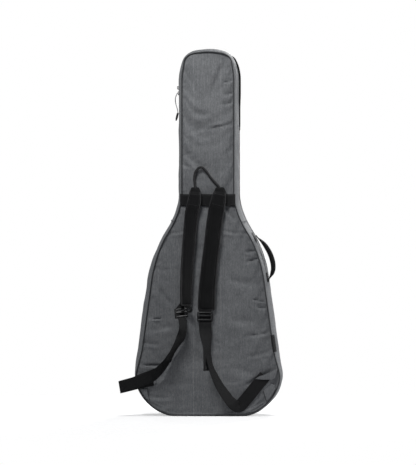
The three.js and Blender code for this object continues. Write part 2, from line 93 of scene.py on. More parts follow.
FOLD_SCALE, FOLD_WIDTH = 1.5, 0.8  # times the depths and widths in the tables of folds
PROUD = 1.4  # how far the cloth may stand out before it is pressed back
SETTLING_FRAMES = 20
SETTLED_MOST = 1.5  # how far the cloth may move as it settles
SHARP_EDGE = 50.0  # degrees
PACKED_FOLDS = (-0.0435, 0.0405)  # metres from the middle: where the back was folded for packing
FLOOR_REACH = 1.5  # metres
AMBIENT = 0.2
HEATHER_DARK = (0.066, 0.069, 0.073)
HEATHER_MID = (0.118, 0.1215, 0.126)
HEATHER_LIGHT = (0.2, 0.203, 0.207)


# ---------------------------------------------------------------- camera, lights and floor
def camera():
    """Looks at the strap side from a little to the right, square on."""
    distance, wide = 10.0, 1.4276  # metres: to the bag's back, and the height that it sees there
    turn = math.radians(3.3)
    aim = Vector((0.001, BACK_Y * MM, 0.5640))
    data = bpy.data.cameras.new("camera")
    data.sensor_width = 36.0
    data.lens = data.sensor_width * distance / wide
    cam = bpy.data.objects.new("camera", data)
    bpy.context.scene.collection.objects.link(cam)
    cam.location = aim + distance * Vector((math.sin(turn), -math.cos(turn), 0.0))
    cam.rotation_euler = (math.pi / 2, 0.0, turn)
    bpy.context.scene.camera = cam


def area_light(name, place, aim, size, power):
    """A rectangular lamp: place, aim and size in metres, power in watts."""
    data = bpy.data.lights.new(name, "AREA")
    data.shape = "RECTANGLE"
    data.size, data.size_y = size
    data.energy = power
    lamp = bpy.data.objects.new(name, data)
    bpy.context.scene.collection.objects.link(lamp)
    lamp.location = place
    lamp.rotation_euler = (Vector(aim) - Vector(place)).to_track_quat("-Z", "Y").to_euler()


def studio():
    """White surroundings that light the bag softly, and five soft lamps."""
    scene = bpy.context.scene
    scene.view_settings.view_transform = "Standard"
    world = bpy.data.worlds.new("studio")
    scene.world = world
    world.use_nodes = True
    nodes, links = world.node_tree.nodes, world.node_tree.links
    nodes["Background"].inputs["Strength"].default_value = AMBIENT
    white = nodes.new("ShaderNodeBackground")
    white.inputs["Color"].default_value = (1.0, 1.0, 1.0, 1.0)
    nodes["Background"].inputs["Color"].default_value = (0.87, 0.91, 1.0, 1.0)
    seen = nodes.new("ShaderNodeMixShader")
    links.new(nodes.new("ShaderNodeLightPath").outputs["Is Camera Ray"], seen.inputs[0])
    links.new(nodes["Background"].outputs[0], seen.inputs[1])
    links.new(white.outputs[0], seen.inputs[2])
    links.new(seen.outputs[0], nodes["World Output"].inputs["Surface"])
    area_light("key_light", (-0.5, -1.1, 2.2), (0, -0.08, 0.85), (0.6, 0.4), 38.0)
    area_light("front_light", (-1.2, -3.4, 2.2), (0, 0, 0.9), (1.2, 1.2), 9.0)
    area_light("right_light", (2.5, -0.34, 1.35), (0.1, 0, 0.85), (0.4, 0.9), 58.0)
    area_light("lid_light", (0.5, 1.8, 1.5), (0, 0.05, 0.7), (0.6, 0.4), 62.0)
    area_light("lid_fill", (-1.6, 3.0, 1.5), (0, 0, 0.6), (1.4, 1.4), 16.0)


# ---------------------------------------------------------------- numbers
def smooth(t):
    """From 0 to 1 as t does, level at both ends."""
    t = np.clip(t, 0.0, 1.0)
    return t * t * (3 - 2 * t)


def mix(a, b, t):
    """From a to b as t goes from 0 to 1."""
    return a + (b - a) * t


def zip_y(z):
    """Where the zip's plane is at a height."""
    return mix(*ZIP_Y, z / HEIGHT)


def front_y(z):
    """Where the lid's face is at a height."""
    return mix(*FRONT_Y, z / HEIGHT)


def back_y(z):
    """Where the back's face is at a height."""
    return BACK_Y + 0 * z


def flare_share(z):
    """How much of the flare the outline has at a height: none at the base, less at the head's corners."""
    height, reach, share = HEAD_CORNER
    corner = share * np.exp(-(((z - height) / reach) ** 2))
    return smooth((z - FLARE_Z[0]) / (FLARE_Z[1] - FLARE_Z[0])) * (1 - corner)


def waves(p, size, seed, octaves=3):
    """Smooth random values between about -1 and 1 over points p (n, 2 or 3), of that wave size."""
    rng = np.random.default_rng(seed)
    p = np.asarray(p, float)
    total = np.zeros(p.shape[:-1])
    share = 1.0
    for _ in range(octaves):
        for _ in range(5):
            way = rng.normal(size=p.shape[-1])
            way *= 2 * math.pi / (size * np.linalg.norm(way) * rng.uniform(0.8, 1.6))
            total += share * 0.42 * np.sin(p @ way + rng.uniform(0, 2 * math.pi))
        size *= 0.5
        share *= 0.5
    return total


def ripples(s, size, seed):
    """Smooth random values along a line, at the lengths s."""
    return waves(np.stack([s, 0 * s], axis=-1), size, seed, 2)


def angles(n):
    """n even steps round a circle."""
    return np.arange(n) * 2 * math.pi / n


def squared(a, power):
    """Cosine and sine for a ring that is squarer than a circle."""
    return [np.sign(f(a)) * np.abs(f(a)) ** power for f in (np.cos, np.sin)]


def selvedge(share, power):
    """1 across a band and falling round to 0 at its edges, where share is -1 and 1."""
    return np.clip(1 - np.abs(share) ** power, 0, 1) ** 0.5


def spread(columns, share):
    """Columns from -1 to 1 that lie closer together at the edges."""
    angle = math.pi / 2 * share
    return np.sin(np.linspace(-1, 1, columns) * angle) / math.sin(angle)


def spline(rows, spacing):
    """A smooth line through rows of numbers whose first three are a place, and its length at each point."""
    rows = np.asarray(rows, float)
    t = np.concatenate([[0], np.cumsum(np.linalg.norm(np.diff(rows[:, :3], axis=0), axis=1))])
    slope = np.diff(rows, axis=0) / np.diff(t)[:, None]
    tangent = np.zeros_like(rows)
    tangent[0], tangent[-1] = slope[0], slope[-1]
    for i in range(1, len(rows) - 1):
        a, b = t[i] - t[i - 1], t[i + 1] - t[i]
        tangent[i] = (slope[i - 1] * b + slope[i] * a) / (a + b)
    count = max(2, int(round(t[-1] / spacing)) + 1)
    s = np.linspace(0, t[-1], count)
    k = np.clip(np.searchsorted(t, s, side="right") - 1, 0, len(rows) - 2)
    h = (t[k + 1] - t[k])[:, None]
    u = ((s - t[k])[:, None]) / h
    out = (
        (2 * u**3 - 3 * u**2 + 1) * rows[k]
        + (u**3 - 2 * u**2 + u) * h * tangent[k]
        + (-2 * u**3 + 3 * u**2) * rows[k + 1]
        + (u**3 - u**2) * h * tangent[k + 1]
    )
    return out, along(out)


def along(points):
    """Length along a line at each of its points."""
    steps = np.linalg.norm(np.diff(np.asarray(points)[:, :3], axis=0), axis=1)
    return np.concatenate([[0], np.cumsum(steps)])


def unit(v):
    """Vectors of length 1 along v."""
    return v / np.maximum(np.linalg.norm(v, axis=-1, keepdims=True), 1e-9)


def tangents(points):
    """Directions along a line at each of its points."""
    return unit(np.gradient(points, axis=0))


# ---------------------------------------------------------------- the outline
def right_curves():
    """The right half of the outline, from the base's middle: control points, and how many stations."""
    slope = (SHOULDER_HALF - BOUT_HALF) / (SHOULDER_Z - BOUT_Z)
    return [
        ([(0, 0), (BASE_HALF, 0)], BASE_STATIONS),
        ([(BASE_HALF, 0), (BASE_HALF + 60, 0), (BOUT_HALF - 76 * slope, BOUT_Z - 76),
          (BOUT_HALF, BOUT_Z)], 48),
        ([(BOUT_HALF, BOUT_Z), (SHOULDER_HALF, SHOULDER_Z)], 56),
        ([(SHOULDER_HALF, SHOULDER_Z), (SHOULDER_HALF + 50 * slope, SHOULDER_Z + 50),
          (WAIST[0] + 24, WAIST[1] - 38), WAIST], 32),
        ([WAIST, (WAIST[0] - 21, WAIST[1] + 34), (NECK_HALF, NECK_Z - 50), (NECK_HALF, NECK_Z)], 27),
        ([(NECK_HALF, NECK_Z), (NECK_HALF, NECK_TOP_Z)], 69),
        ([(NECK_HALF, NECK_TOP_Z), (NECK_HALF, NECK_TOP_Z + 47), (72, HEIGHT - 14),
          (45, HEIGHT - 6)], 26),
        ([(45, HEIGHT - 6), (22, HEIGHT), (0, HEIGHT)], 9),
    ]


def curve_at(control, t):
    """Point and direction of a Bezier curve of 2, 3 or 4 control points."""
    p = [np.array(c, float) for c in control]
    while len(p) > 2:
        p = [mix(a, b, t[:, None]) for a, b in zip(p, p[1:])]
    point = mix(p[0], p[1], t[:, None])
    return point, np.broadcast_to(p[1] - p[0], point.shape)


def outline():
    """Stations round the outline: x, z and the normal that points inwards, from the base's middle."""
    rows = []
    for control, n in right_curves():
        point, direction = curve_at(control, np.arange(n) / n)
        d = unit(direction)
        rows.append(np.column_stack([point, -d[:, 1], d[:, 0]]))
    right = np.vstack(rows + [[[0.0, HEIGHT, 0.0, -1.0]]])
    left = right[1:-1][::-1] * (-1, 1, -1, 1)
    return right, np.vstack([right, left])


RIGHT, STATIONS = outline()
LOOP = np.vstack([STATIONS, STATIONS[:1]])
STATION_S = along(np.column_stack([LOOP[:, 0], LOOP[:, 1], 0 * LOOP[:, 0]]))
PERIMETER = STATION_S[-1]


def gusset_points(stations, corner, face):
    """Points of the gusset: inset from the outline; side 0 is the zip plane and 1 the panel's face."""
    inset, side, shift = corner
    depth = inset + FLARE * side * flare_share(stations[:, 1])
    x = stations[:, 0] + stations[:, 2] * depth
    z = stations[:, 1] + stations[:, 3] * depth
    y = mix(zip_y(z), face(z), side) + shift
    return np.column_stack([x, y, z])


def stations_at(s):
    """Stations at those lengths along the outline."""
    rows = np.column_stack([np.interp(s % PERIMETER, STATION_S, LOOP[:, k]) for k in range(4)])
    rows[:, 2:] = unit(rows[:, 2:])
    return rows


def stations_between(start, end, spacing):
    """Stations at even steps of length between two lengths along the outline."""
    n = max(2, int(round((end - start) / spacing)) + 1)
    s = np.linspace(start, end, n)
    return stations_at(s), s


def inwards(rows):
    """Directions from the outline at each station towards the bag's inside."""
    return np.column_stack([rows[:, 2], 0 * rows[:, 2], rows[:, 3]])


def gusset_rings(rows, profile, face):
    """A cross-section of (inset, side, shift) corners at each station."""
    return np.stack([gusset_points(rows, corner, face) for corner in profile], axis=1)


def length_at(z, right=True):
    """Length along the outline where its side is at height z."""
    k = np.arange(BASE_STATIONS, len(RIGHT))
    s = float(np.interp(z, RIGHT[k, 1], STATION_S[k]))
    return s if right else PERIMETER - s


# ---------------------------------------------------------------- mesh data: (points, faces, corner uvs)
def loft(sections, u=None, v=None, loop=False, caps="fan"):
    """A surface through rows of matching rings (rows, n, 3); u runs along the rows and v round them."""
    sections = np.asarray(sections, float)
    m, n = sections.shape[:2]
    if u is None:
        u = along(np.vstack([sections[:, 0], sections[:1, 0]]) if loop else sections[:, 0]) * MM
    if v is None:
        v = along(np.vstack([sections[m // 2], sections[m // 2][:1]])) * MM
    i, j = np.meshgrid(np.arange(m if loop else m - 1), np.arange(n), indexing="ij")
    i, j = i.ravel(), j.ravel()
    i1, j1 = (i + 1) % m, (j + 1) % n
    faces = np.column_stack([i * n + j, i * n + j1, i1 * n + j1, i1 * n + j]).tolist()
    uv = [np.stack([
        np.column_stack([u[i], v[j]]), np.column_stack([u[i], v[j + 1]]),
        np.column_stack([u[i + 1], v[j + 1]]), np.column_stack([u[i + 1], v[j]]),
    ], axis=1).reshape(-1, 2)]
    if caps and not loop:
        for row, flip in ((0, True), (m - 1, False)):
            base = row * n
            if caps == "pair":  # front and back points that face each other
                cap = [[base + k, base + k + 1, base + n - 2 - k, base + n - 1 - k]
                       for k in range(n // 2 - 1)]
            else:
                cap = [list(range(base, base + n))]
            for face in cap:
                faces.append(face[::-1] if flip else face)
                uv.append(np.array([[u[row], v[(k - base) % n]] for k in faces[-1]]))
    return sections.reshape(-1, 3), faces, np.vstack(uv)


def sandwich(top, foot, u=None):
    """A closed slab between two sheets of matching points."""
    return loft(np.concatenate([top, foot[:, ::-1]], axis=1), u=u, caps="pair")


def joined(parts):
    """Several pieces' data as one."""
    points, faces, uvs, base = [], [], [], 0
    for p, f, uv in parts:
        points.append(p)
        faces.extend([[k + base for k in face] for face in f])
        uvs.append(uv)
        base += len(p)
    return np.vstack(points), faces, np.vstack(uvs)


def placed(data, matrix):
    """The data moved by a matrix."""
    m = np.array(matrix, float)
    return data[0] @ m[:3, :3].T + m[:3, 3], data[1], data[2]


def from_bmesh(bm):
    """Data from a bmesh, each face mapped flat along its normal's longest axis."""
    bm.verts.ensure_lookup_table()
    bm.verts.index_update()
    points = np.array([v.co for v in bm.verts], float)
    faces = [[v.index for v in f.verts] for f in bm.faces]
    uv = []
    for f in bm.faces:
        flat = np.argsort(np.abs(np.array(f.normal)))[:2]
        uv.extend([points[v.index][np.sort(flat)] * MM for v in f.verts])
    bm.free()
    return points, faces, np.array(uv)


def rounded_cube(size, bevel, segments):
    """A bmesh of a block with rounded edges."""
    bm = bmesh.new()
    bmesh.ops.create_cube(bm, size=1.0)
    bmesh.ops.scale(bm, vec=size, verts=bm.verts)
    bmesh.ops.bevel(bm, geom=list(bm.edges), offset=bevel, segments=segments, profile=0.5, affect="EDGES")
    return bm


def block(size, bevel, centre=(0, 0, 0)):
    """A small block with rounded edges."""
    bm = rounded_cube(size, bevel, 1)
    bmesh.ops.translate(bm, vec=centre, verts=bm.verts)
    return from_bmesh(bm)


def rounded_outline(width, height, radius, n=5):
    """Points round a rectangle with round corners, counter-clockwise."""
    w, h = width / 2 - radius, height / 2 - radius
    points = []
    for cx, cy, start in ((w, -h, -90), (w, h, 0), (-w, h, 90), (-w, -h, 180)):
        for k in range(n):
            a = math.radians(start + 90 * k / (n - 1))
            points.append((cx + radius * math.cos(a), cy + radius * math.sin(a)))
    return np.array(points)


def plate(points, thick, bevel=0.5, hole=None):
    """A plate of that outline, thick along its third axis, with its edges rounded and perhaps a hole."""
    def ring(shrink, level, shape=points):
        flat = shape - unit(shape - shape.mean(axis=0)) * shrink
        return np.column_stack([flat, np.full(len(flat), level)])

    t, slight = thick / 2, 0.3 * bevel
    outer = [ring(bevel, -t), ring(slight, -t + slight), ring(0, -t + bevel), ring(0, t - bevel),
             ring(slight, t - slight), ring(bevel, t)]
    if hole is None:
        return loft(np.array(outer))
    return loft(np.array(outer + [ring(0, t, hole), ring(0, -t, hole)]), loop=True)


def tube(path, radius, sides=10, squash=1.0):
    """A round tube along a path."""
    path = np.asarray(path, float)
    d = tangents(path)
    normal = np.zeros_like(path)
    start = np.array([0.0, -1.0, 0.0]) if abs(d[0] @ [0, -1, 0]) < 0.9 else np.array([1.0, 0, 0])
    normal[0] = unit(start - (start @ d[0]) * d[0])
    for i in range(1, len(path)):
        normal[i] = unit(normal[i - 1] - (normal[i - 1] @ d[i]) * d[i])
    other = np.cross(d, normal)
    angle = angles(sides)[None, :, None]
    ring = squash * np.cos(angle) * normal[:, None] + np.sin(angle) * other[:, None]
    v = np.arange(sides + 1) / sides * 2 * math.pi * radius * MM
    return loft(path[:, None] + radius * ring, v=v)


def scatter(template, places, x, y, z):
    """The template at each place, its own axes turned to x, y and z."""
    p, f, uv = template
    axes = np.stack([x, y, z], axis=1)
    points = places[:, None] + np.einsum("kj,njd->nkd", p, axes)
    n = len(p)
    faces = [[k + i * n for k in face] for i in range(len(places)) for face in f]
    return points.reshape(-1, 3), faces, np.tile(uv, (len(places), 1))


def spindle(length, width, thick):
    """One stitch of thread, along x."""
    ring = [(math.cos(a) * width / 2, math.sin(a) * thick / 2) for a in angles(5)]
    points = [(-length / 2, 0, -thick / 2)]
    for x in (-0.28, 0.28):
        points += [(x * length, b * 0.9, c * 0.9) for b, c in ring]
    points.append((length / 2, 0, -thick / 2))
    after = [(k + 1) % 5 for k in range(5)]
    faces = [[0, 1 + after[k], 1 + k] for k in range(5)]
    faces += [[1 + k, 1 + after[k], 6 + after[k], 6 + k] for k in range(5)]
    faces += [[11, 6 + k, 6 + after[k]] for k in range(5)]
    p = np.array(points, float)
    uv = np.vstack([p[face][:, :2] * MM for face in faces])
    return p, faces, uv


def seam(path, outward, pitch=3.6, length=2.7, width=0.75, thick=0.7):
    """A row of stitches along a path; outward points away from the cloth."""
    path, outward = np.asarray(path, float), np.asarray(outward, float)
    s = along(path)
    at = np.arange(pitch / 2, s[-1], pitch)

    def pick(rows):
        return np.column_stack([np.interp(at, s, rows[:, k]) for k in range(3)])

    out = unit(pick(outward))
    x = unit(pick(tangents(path)))
    y = unit(np.cross(out, x))
    return scatter(spindle(length, width, thick), pick(path), x, y, np.cross(x, y))


def make(name, data, material, body=None, slot=None, replaces=()):
    """Makes a piece, its faces outwards and nothing below the floor, and puts it on its body."""
    points, faces, uv = data
    if slot:
        points = np.column_stack([points[:, :2], np.maximum(points[:, 2], FLOOR_CLEAR)])
    sizes = np.array([len(f) for f in faces])
    flat = np.concatenate([np.asarray(f) for f in faces])
    starts = np.concatenate([[0], np.cumsum(sizes)[:-1]])
    volume = 0.0
    first = points[flat[starts]]
    for k in range(1, int(sizes.max()) - 1):
        has = sizes > k + 1
        b, c = points[flat[starts[has] + k]], points[flat[starts[has] + k + 1]]
        volume += float(np.einsum("ij,ij->i", first[has], np.cross(b, c)).sum())
    if volume < 0:
        order = np.concatenate([np.arange(s + n - 1, s - 1, -1) for s, n in zip(starts, sizes)])
        faces = [list(f)[::-1] for f in faces]
        uv = uv[order]
    mesh = bpy.data.meshes.new(name)
    mesh.from_pydata((points * MM).tolist(), [], faces)
    layer = mesh.uv_layers.new(name="flat")
    layer.data.foreach_set("uv", np.asarray(uv, np.float32).ravel())
    mesh.polygons.foreach_set("use_smooth", [True] * len(mesh.polygons))
    mesh.set_sharp_from_angle(angle=math.radians(SHARP_EDGE))
    mesh.materials.append(material)
    piece = bpy.data.objects.new(name, mesh)
    bpy.context.scene.collection.objects.link(piece)
    if replaces:
        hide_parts(*replaces)
    if body:
        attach(piece, body)
    return piece


# ---------------------------------------------------------------- materials
class Shade:
    """One material's nodes. Its texture space is the piece's own map, in metres, u along it."""

    def __init__(self, name, roughness, sheen=0.0, metallic=0.0, space="UV", gloss=0.5):
        self.material = bpy.data.materials.new(name)
        self.material.use_nodes = True
        self.tree = self.material.node_tree
        self.shader = self.tree.nodes["Principled BSDF"]
        self.shader.inputs["Metallic"].default_value = metallic
        self.shader.inputs["Sheen Weight"].default_value = sheen
        self.shader.inputs["Sheen Roughness"].default_value = 0.45
        self.shader.inputs["Specular IOR Level"].default_value = gloss
        self.shader.inputs["Roughness"].default_value = roughness
        self.place = self.node("ShaderNodeTexCoord").outputs[space]
        apart = self.node("ShaderNodeSeparateXYZ", {"Vector": self.place})
        self.u, self.v = apart.outputs["X"], apart.outputs["Y"]

    def node(self, kind, inputs=None, **settings):
        made = self.tree.nodes.new(kind)
        for key, value in settings.items():
            setattr(made, key, value)
        for key, value in (inputs or {}).items():
            self.put(made.inputs[key], value)
        return made

    def put(self, socket, value):
        if isinstance(value, bpy.types.NodeSocket):
            self.tree.links.new(value, socket)
        else:
            socket.default_value = value

    def math(self, operation, a, b=0.0):
        """One sum of two numbers or sockets."""
        return self.node("ShaderNodeMath", {0: a, 1: b}, operation=operation).outputs[0]

    def noise(self, per_metre, detail=2.0, sharp=0.5):
        """Noise between 0 and 1, with that many waves per metre along u, v and w."""
        scaled = self.node("ShaderNodeMapping", {"Vector": self.place, "Scale": per_metre})
        made = self.node("ShaderNodeTexNoise", {
            "Vector": scaled.outputs[0], "Scale": 1.0, "Detail": detail, "Roughness": sharp})
        return made.outputs["Fac"]

    def wave(self, u_mm, v_mm, phase=0.0):
        """A sine over the surface with those wave lengths in millimetres, 0 for none."""
        total = phase
        for axis, size in ((self.u, u_mm), (self.v, v_mm)):
            if size:
                turned = self.math("MULTIPLY", axis, 2 * math.pi / (size * MM))
                total = self.math("ADD", turned, total)
        return self.math("SINE", total)

    def weave(self, u_mm, v_mm):
        """A plain weave with those thread spacings in millimetres."""
        return self.math("MULTIPLY", self.wave(u_mm, 0), self.wave(0, v_mm))

    def sum(self, *terms):
        """The sum of (factor, value) terms and plain numbers."""
        total = None
        for term in terms:
            value = self.math("MULTIPLY", term[1], term[0]) if isinstance(term, tuple) else term
            total = value if total is None else self.math("ADD", total, value)
        return total

    def colour(self, amount, *stops):
        """Base colour from a ramp over amount; stops are (place, (r, g, b))."""
        ramp = self.node("ShaderNodeValToRGB", {"Fac": amount})
        points = ramp.color_ramp.elements
        while len(points) < len(stops):
            points.new(0.5)
        for point, (at, rgb) in zip(points, stops):
            point.position = at
            point.color = (*rgb, 1.0)
        self.put(self.shader.inputs["Base Color"], ramp.outputs["Color"])

    def rough(self, low, high, amount):
        """Roughness between low and high as amount goes from 0 to 1."""
        span = self.node("ShaderNodeMapRange", {"Value": amount, "To Min": low, "To Max": high})
        self.put(self.shader.inputs["Roughness"], span.outputs[0])

    def bump(self, height, depth_mm, strength=1.0):
        """Relief from a height; returns the finished material."""
        made = self.node("ShaderNodeBump", {"Height": height, "Distance": depth_mm * MM, "Strength": strength})
        self.put(self.shader.inputs["Normal"], made.outputs[0])
        return self.material

    def line_at(self, value, place, width):
        """1 on a line at that value, fading to 0 at width metres from it."""
        off = self.math("ABSOLUTE", self.math("SUBTRACT", value, place))
        made = self.node("ShaderNodeMapRange", {
            "Value": off, "From Min": 0.0, "From Max": width, "To Min": 1.0, "To Max": 0.0},
            interpolation_type="SMOOTHSTEP")
        return made.outputs[0]


def heather(name, folds=()):
    """Melange cloth: light and dark yarns in a fine plain weave. folds are places along u where a lighter line is
    painted as the highlight that each pressed crease catches.
    """
    m = Shade(name, 0.86, sheen=0.04, gloss=0.25)
    fine = m.noise((42.0, 760.0, 1.0), 3.0, 0.62)
    wide = m.noise((11.0, 260.0, 1.0), 2.0, 0.55)
    cloud = m.noise((9.0, 9.0, 1.0), 2.0)
    weave = m.weave(1.15, 1.15)
    speck = m.noise((420.0, 900.0, 1.0), 2.0, 0.6)
    slub = m.noise((130.0, 240.0, 1.0), 1.0)
    tone = m.sum((0.7, fine), (0.36, wide), (0.26, cloud), (0.9, speck), (0.45, slub), (0.05, weave), -0.835)
    for fold in folds:
        # painted highlight: a lighter line along each packing crease, standing in for the light that its ridge
        # catches
        crease_highlight = m.math("MULTIPLY", m.line_at(m.v, fold, 0.0026), m.noise((16.0, 3.0, 1.0)))
        tone = m.sum(tone, (0.3, crease_highlight))
    m.colour(tone, (0.12, HEATHER_DARK), (0.5, HEATHER_MID), (0.9, HEATHER_LIGHT))
    m.rough(0.8, 0.93, fine)
    return m.bump(m.sum((0.5, weave), (0.9, fine), (0.7, wide)), 0.22, 0.8)


def webbing_cloth(name, tint=1.0):
    """Black webbing with ribs along it and a herringbone of small floats across them."""
    m = Shade(name, 0.6, gloss=0.14)
    rib = m.math("ABSOLUTE", m.wave(0, 3.2))
    floats = m.wave(1.9, 0, m.math("MULTIPLY", m.wave(0, 6.4), 2.2))
    fuzz = m.noise((900.0, 900.0, 1.0), 2.0)
    tone = m.sum((0.4, rib), (0.22, floats), (0.3, fuzz))
    dark = tuple(tint * c for c in (0.0022, 0.0023, 0.0025))
    light = tuple(tint * c for c in (0.0135, 0.0135, 0.0142))
    m.colour(tone, (0.1, dark), (0.95, light))
    m.rough(0.5, 0.74, fuzz)
    return m.bump(m.sum((0.7, rib), (0.5, floats), (0.15, fuzz)), 0.3)


def strap_cloth():
    """Black knitted cover of the shoulder straps, with faint lines along it."""
    m = Shade("strap_cloth", 0.78, gloss=0.12)
    lines = m.noise((6.0, 520.0, 1.0), 2.0, 0.6)
    knit = m.weave(1.6, 1.3)
    fuzz = m.noise((700.0, 700.0, 1.0), 2.0)
    tone = m.sum((0.7, lines), (0.12, knit), (0.2, fuzz))
    m.colour(tone, (0.2, (0.0012, 0.0013, 0.0015)), (0.85, (0.0105, 0.0105, 0.011)))
    m.rough(0.68, 0.86, fuzz)
    return m.bump(m.sum((0.6, lines), (0.35, knit), (0.2, fuzz)), 0.22)


def twill(name, dark, light, pitch=1.3, roughness=0.78):
    """Tape or piping cloth with a fine diagonal rib."""
    m = Shade(name, roughness, gloss=0.25)
    diagonal = m.wave(pitch, pitch)
    fuzz = m.noise((800.0, 800.0, 1.0), 2.0)
    m.colour(m.sum((0.25, diagonal), (0.5, fuzz), 0.2), (0.1, dark), (0.9, light))
    m.rough(roughness - 0.1, roughness + 0.08, fuzz)
    return m.bump(m.sum((0.6, diagonal), (0.3, fuzz)), 0.16)


def plush():
    """Brushed plush lining."""
    m = Shade("plush", 0.95, sheen=0.35)
    pile = m.noise((620.0, 620.0, 1.0), 3.0, 0.7)
    brushed = m.noise((22.0, 14.0, 1.0), 2.0)
    tone = m.sum((0.5, pile), (0.6, brushed), -0.05)
    m.colour(tone, (0.25, (0.013, 0.0145, 0.0175)), (0.8, (0.052, 0.056, 0.064)))
    return m.bump(pile, 0.7, 0.9)


def foam_grain():
    """Open-celled foam."""
    m = Shade("foam_grain", 0.95)
    cells = m.node("ShaderNodeTexVoronoi", {"Vector": m.place, "Scale": 420.0})
    tone = m.sum((0.9, cells.outputs["Distance"]), 0.1)
    m.colour(tone, (0.1, (0.025, 0.026, 0.028)), (0.9, (0.09, 0.092, 0.098)))
    return m.bump(cells.outputs["Distance"], 0.5)


def moulded():
    """Black moulded plastic with a fine spark-eroded grain, rubbed smoother in places."""
    m = Shade("moulded_black", 0.42, gloss=0.35)
    grain = m.noise((1500.0, 1500.0, 1500.0), 2.0)
    rubbed = m.noise((55.0, 55.0, 55.0), 2.0)
    m.colour(m.sum((0.3, grain), (0.7, rubbed)), (0.3, (0.0035, 0.0035, 0.0038)), (0.75, (0.011, 0.011, 0.0115)))
    m.rough(0.3, 0.52, rubbed)
    return m.bump(grain, 0.05, 0.5)


def gunmetal():
    """Dark plated metal, scuffed along its length."""
    m = Shade("gunmetal", 0.36, metallic=0.9)
    scuff = m.noise((260.0, 1800.0, 300.0), 3.0, 0.65)
    patina = m.noise((120.0, 120.0, 120.0), 2.0)
    m.colour(m.sum((0.5, scuff), (0.5, patina)), (0.25, (0.055, 0.056, 0.058)), (0.75, (0.17, 0.17, 0.175)))
    m.rough(0.26, 0.5, scuff)
    return m.bump(scuff, 0.04, 0.6)


def braid(name, dark, light):
    """Braided cord: two sets of strands that cross."""
    m = Shade(name, 0.7, gloss=0.25)
    left = m.wave(2.6, 3.1)
    right = m.wave(2.6, -3.1)
    crossed = m.math("MAXIMUM", left, right)
    fuzz = m.noise((1200.0, 1200.0, 1.0), 2.0)
    m.colour(m.sum((0.4, crossed), (0.35, fuzz), 0.15), (0.1, dark), (0.85, light))
    m.rough(0.6, 0.8, fuzz)
    return m.bump(m.sum((0.8, crossed), (0.2, fuzz)), 0.3)


def thread(name, dark, light):
    """Twisted sewing thread."""
    m = Shade(name, 0.6, sheen=0.05)
    twist = m.wave(0.5, 0.6)
    m.colour(m.sum((0.4, twist), 0.5), (0.1, dark), (0.9, light))
    return m.bump(twist, 0.05)


def pale_floor():
    """Pale floor that fades into the white surroundings away from the bag."""
    m = Shade("pale_floor", 0.9, space="Object")
    mottle = m.noise((3.0, 3.0, 3.0), 2.0)
    m.colour(mottle, (0.3, (0.88, 0.88, 0.88)), (0.7, (0.92, 0.92, 0.92)))
    away = m.node("ShaderNodeVectorMath", {0: m.place}, operation="LENGTH").outputs["Value"]
    fade = m.node("ShaderNodeMapRange", {
        "Value": away, "From Min": 0.35, "From Max": FLOOR_REACH * 0.95, "To Min": 0.5, "To Max": 0.0},
        interpolation_type="SMOOTHSTEP")
    m.put(m.shader.inputs["Alpha"], fade.outputs[0])
    return m.bump(mottle, 0.1, 0.1)


CLOTH_BACK = heather("heather_back", PACKED_FOLDS)
CLOTH = heather("heather")
WEB = webbing_cloth("webbing")
BAND_WEB = webbing_cloth("band_webbing", 1.25)
STRAP = strap_cloth()
PIPING = twill("piping_twill", (0.015, 0.0155, 0.0165), (0.046, 0.047, 0.049))
BINDING = twill("binding_twill", (0.005, 0.005, 0.0053), (0.02, 0.02, 0.021), 1.0, 0.6)
TAG = twill("tag_twill", (0.0012, 0.0012, 0.0013), (0.006, 0.006, 0.0064))
HINGE_CLOTH = twill("hinge_twill", (0.02, 0.021, 0.023), (0.06, 0.062, 0.066))
ZIP_TAPE = twill("zip_tape_twill", (0.002, 0.002, 0.0022), (0.009, 0.009, 0.0096), 0.9)
PLUSH = plush()
FOAM = foam_grain()
PLASTIC = moulded()
METAL = gunmetal()
BLACK_BRAID = braid("black_braid", (0.004, 0.004, 0.0044), (0.022, 0.022, 0.023))
GREY_BRAID = braid("grey_braid", (0.08, 0.082, 0.086), (0.3, 0.305, 0.315))
GREY_THREAD = thread("grey_thread", (0.04, 0.043, 0.048), (0.115, 0.12, 0.13))
BLACK_THREAD = thread("black_thread", (0.012, 0.012, 0.013), (0.06, 0.06, 0.062))


# ---------------------------------------------------------------- the two panels and their layers
def panel_grid(inset, columns):
    """Rows of points across the panel, from the base to the head: x and z arrays (rows, columns)."""
    edge = RIGHT[BASE_STATIONS:-1]
    depth = inset + FLARE * flare_share(edge[:, 1])
    half = edge[:, 0] + edge[:, 2] * depth
    z = edge[:, 1] + edge[:, 3] * depth
    keep = np.concatenate([[True], np.diff(z) > 0.05]) & (half > 0.5)
    half, z = half[keep], z[keep]
    across = spread(columns, 0.86)
    return half[:, None] * across[None], np.broadcast_to(z[:, None], (len(z), columns)).copy()


def distance_to(rim, x, z):
    """How far each point is from a rim of points."""
    points = np.column_stack([x.ravel(), z.ravel()])
    nearest = np.full(len(points), np.inf)
    for part in np.array_split(rim, 12):  # a part at a time, to save memory
        gap = np.linalg.norm(points[:, None] - part[None], axis=2).min(axis=1)
        nearest = np.minimum(nearest, gap)
    return nearest.reshape(x.shape)


def edge_distance(x, z, inset):
    """How far each point is from the panel's edge."""
    depth = inset + FLARE * flare_share(STATIONS[:, 1])
    return distance_to(STATIONS[:, :2] + STATIONS[:, 2:] * depth[:, None], x, z)


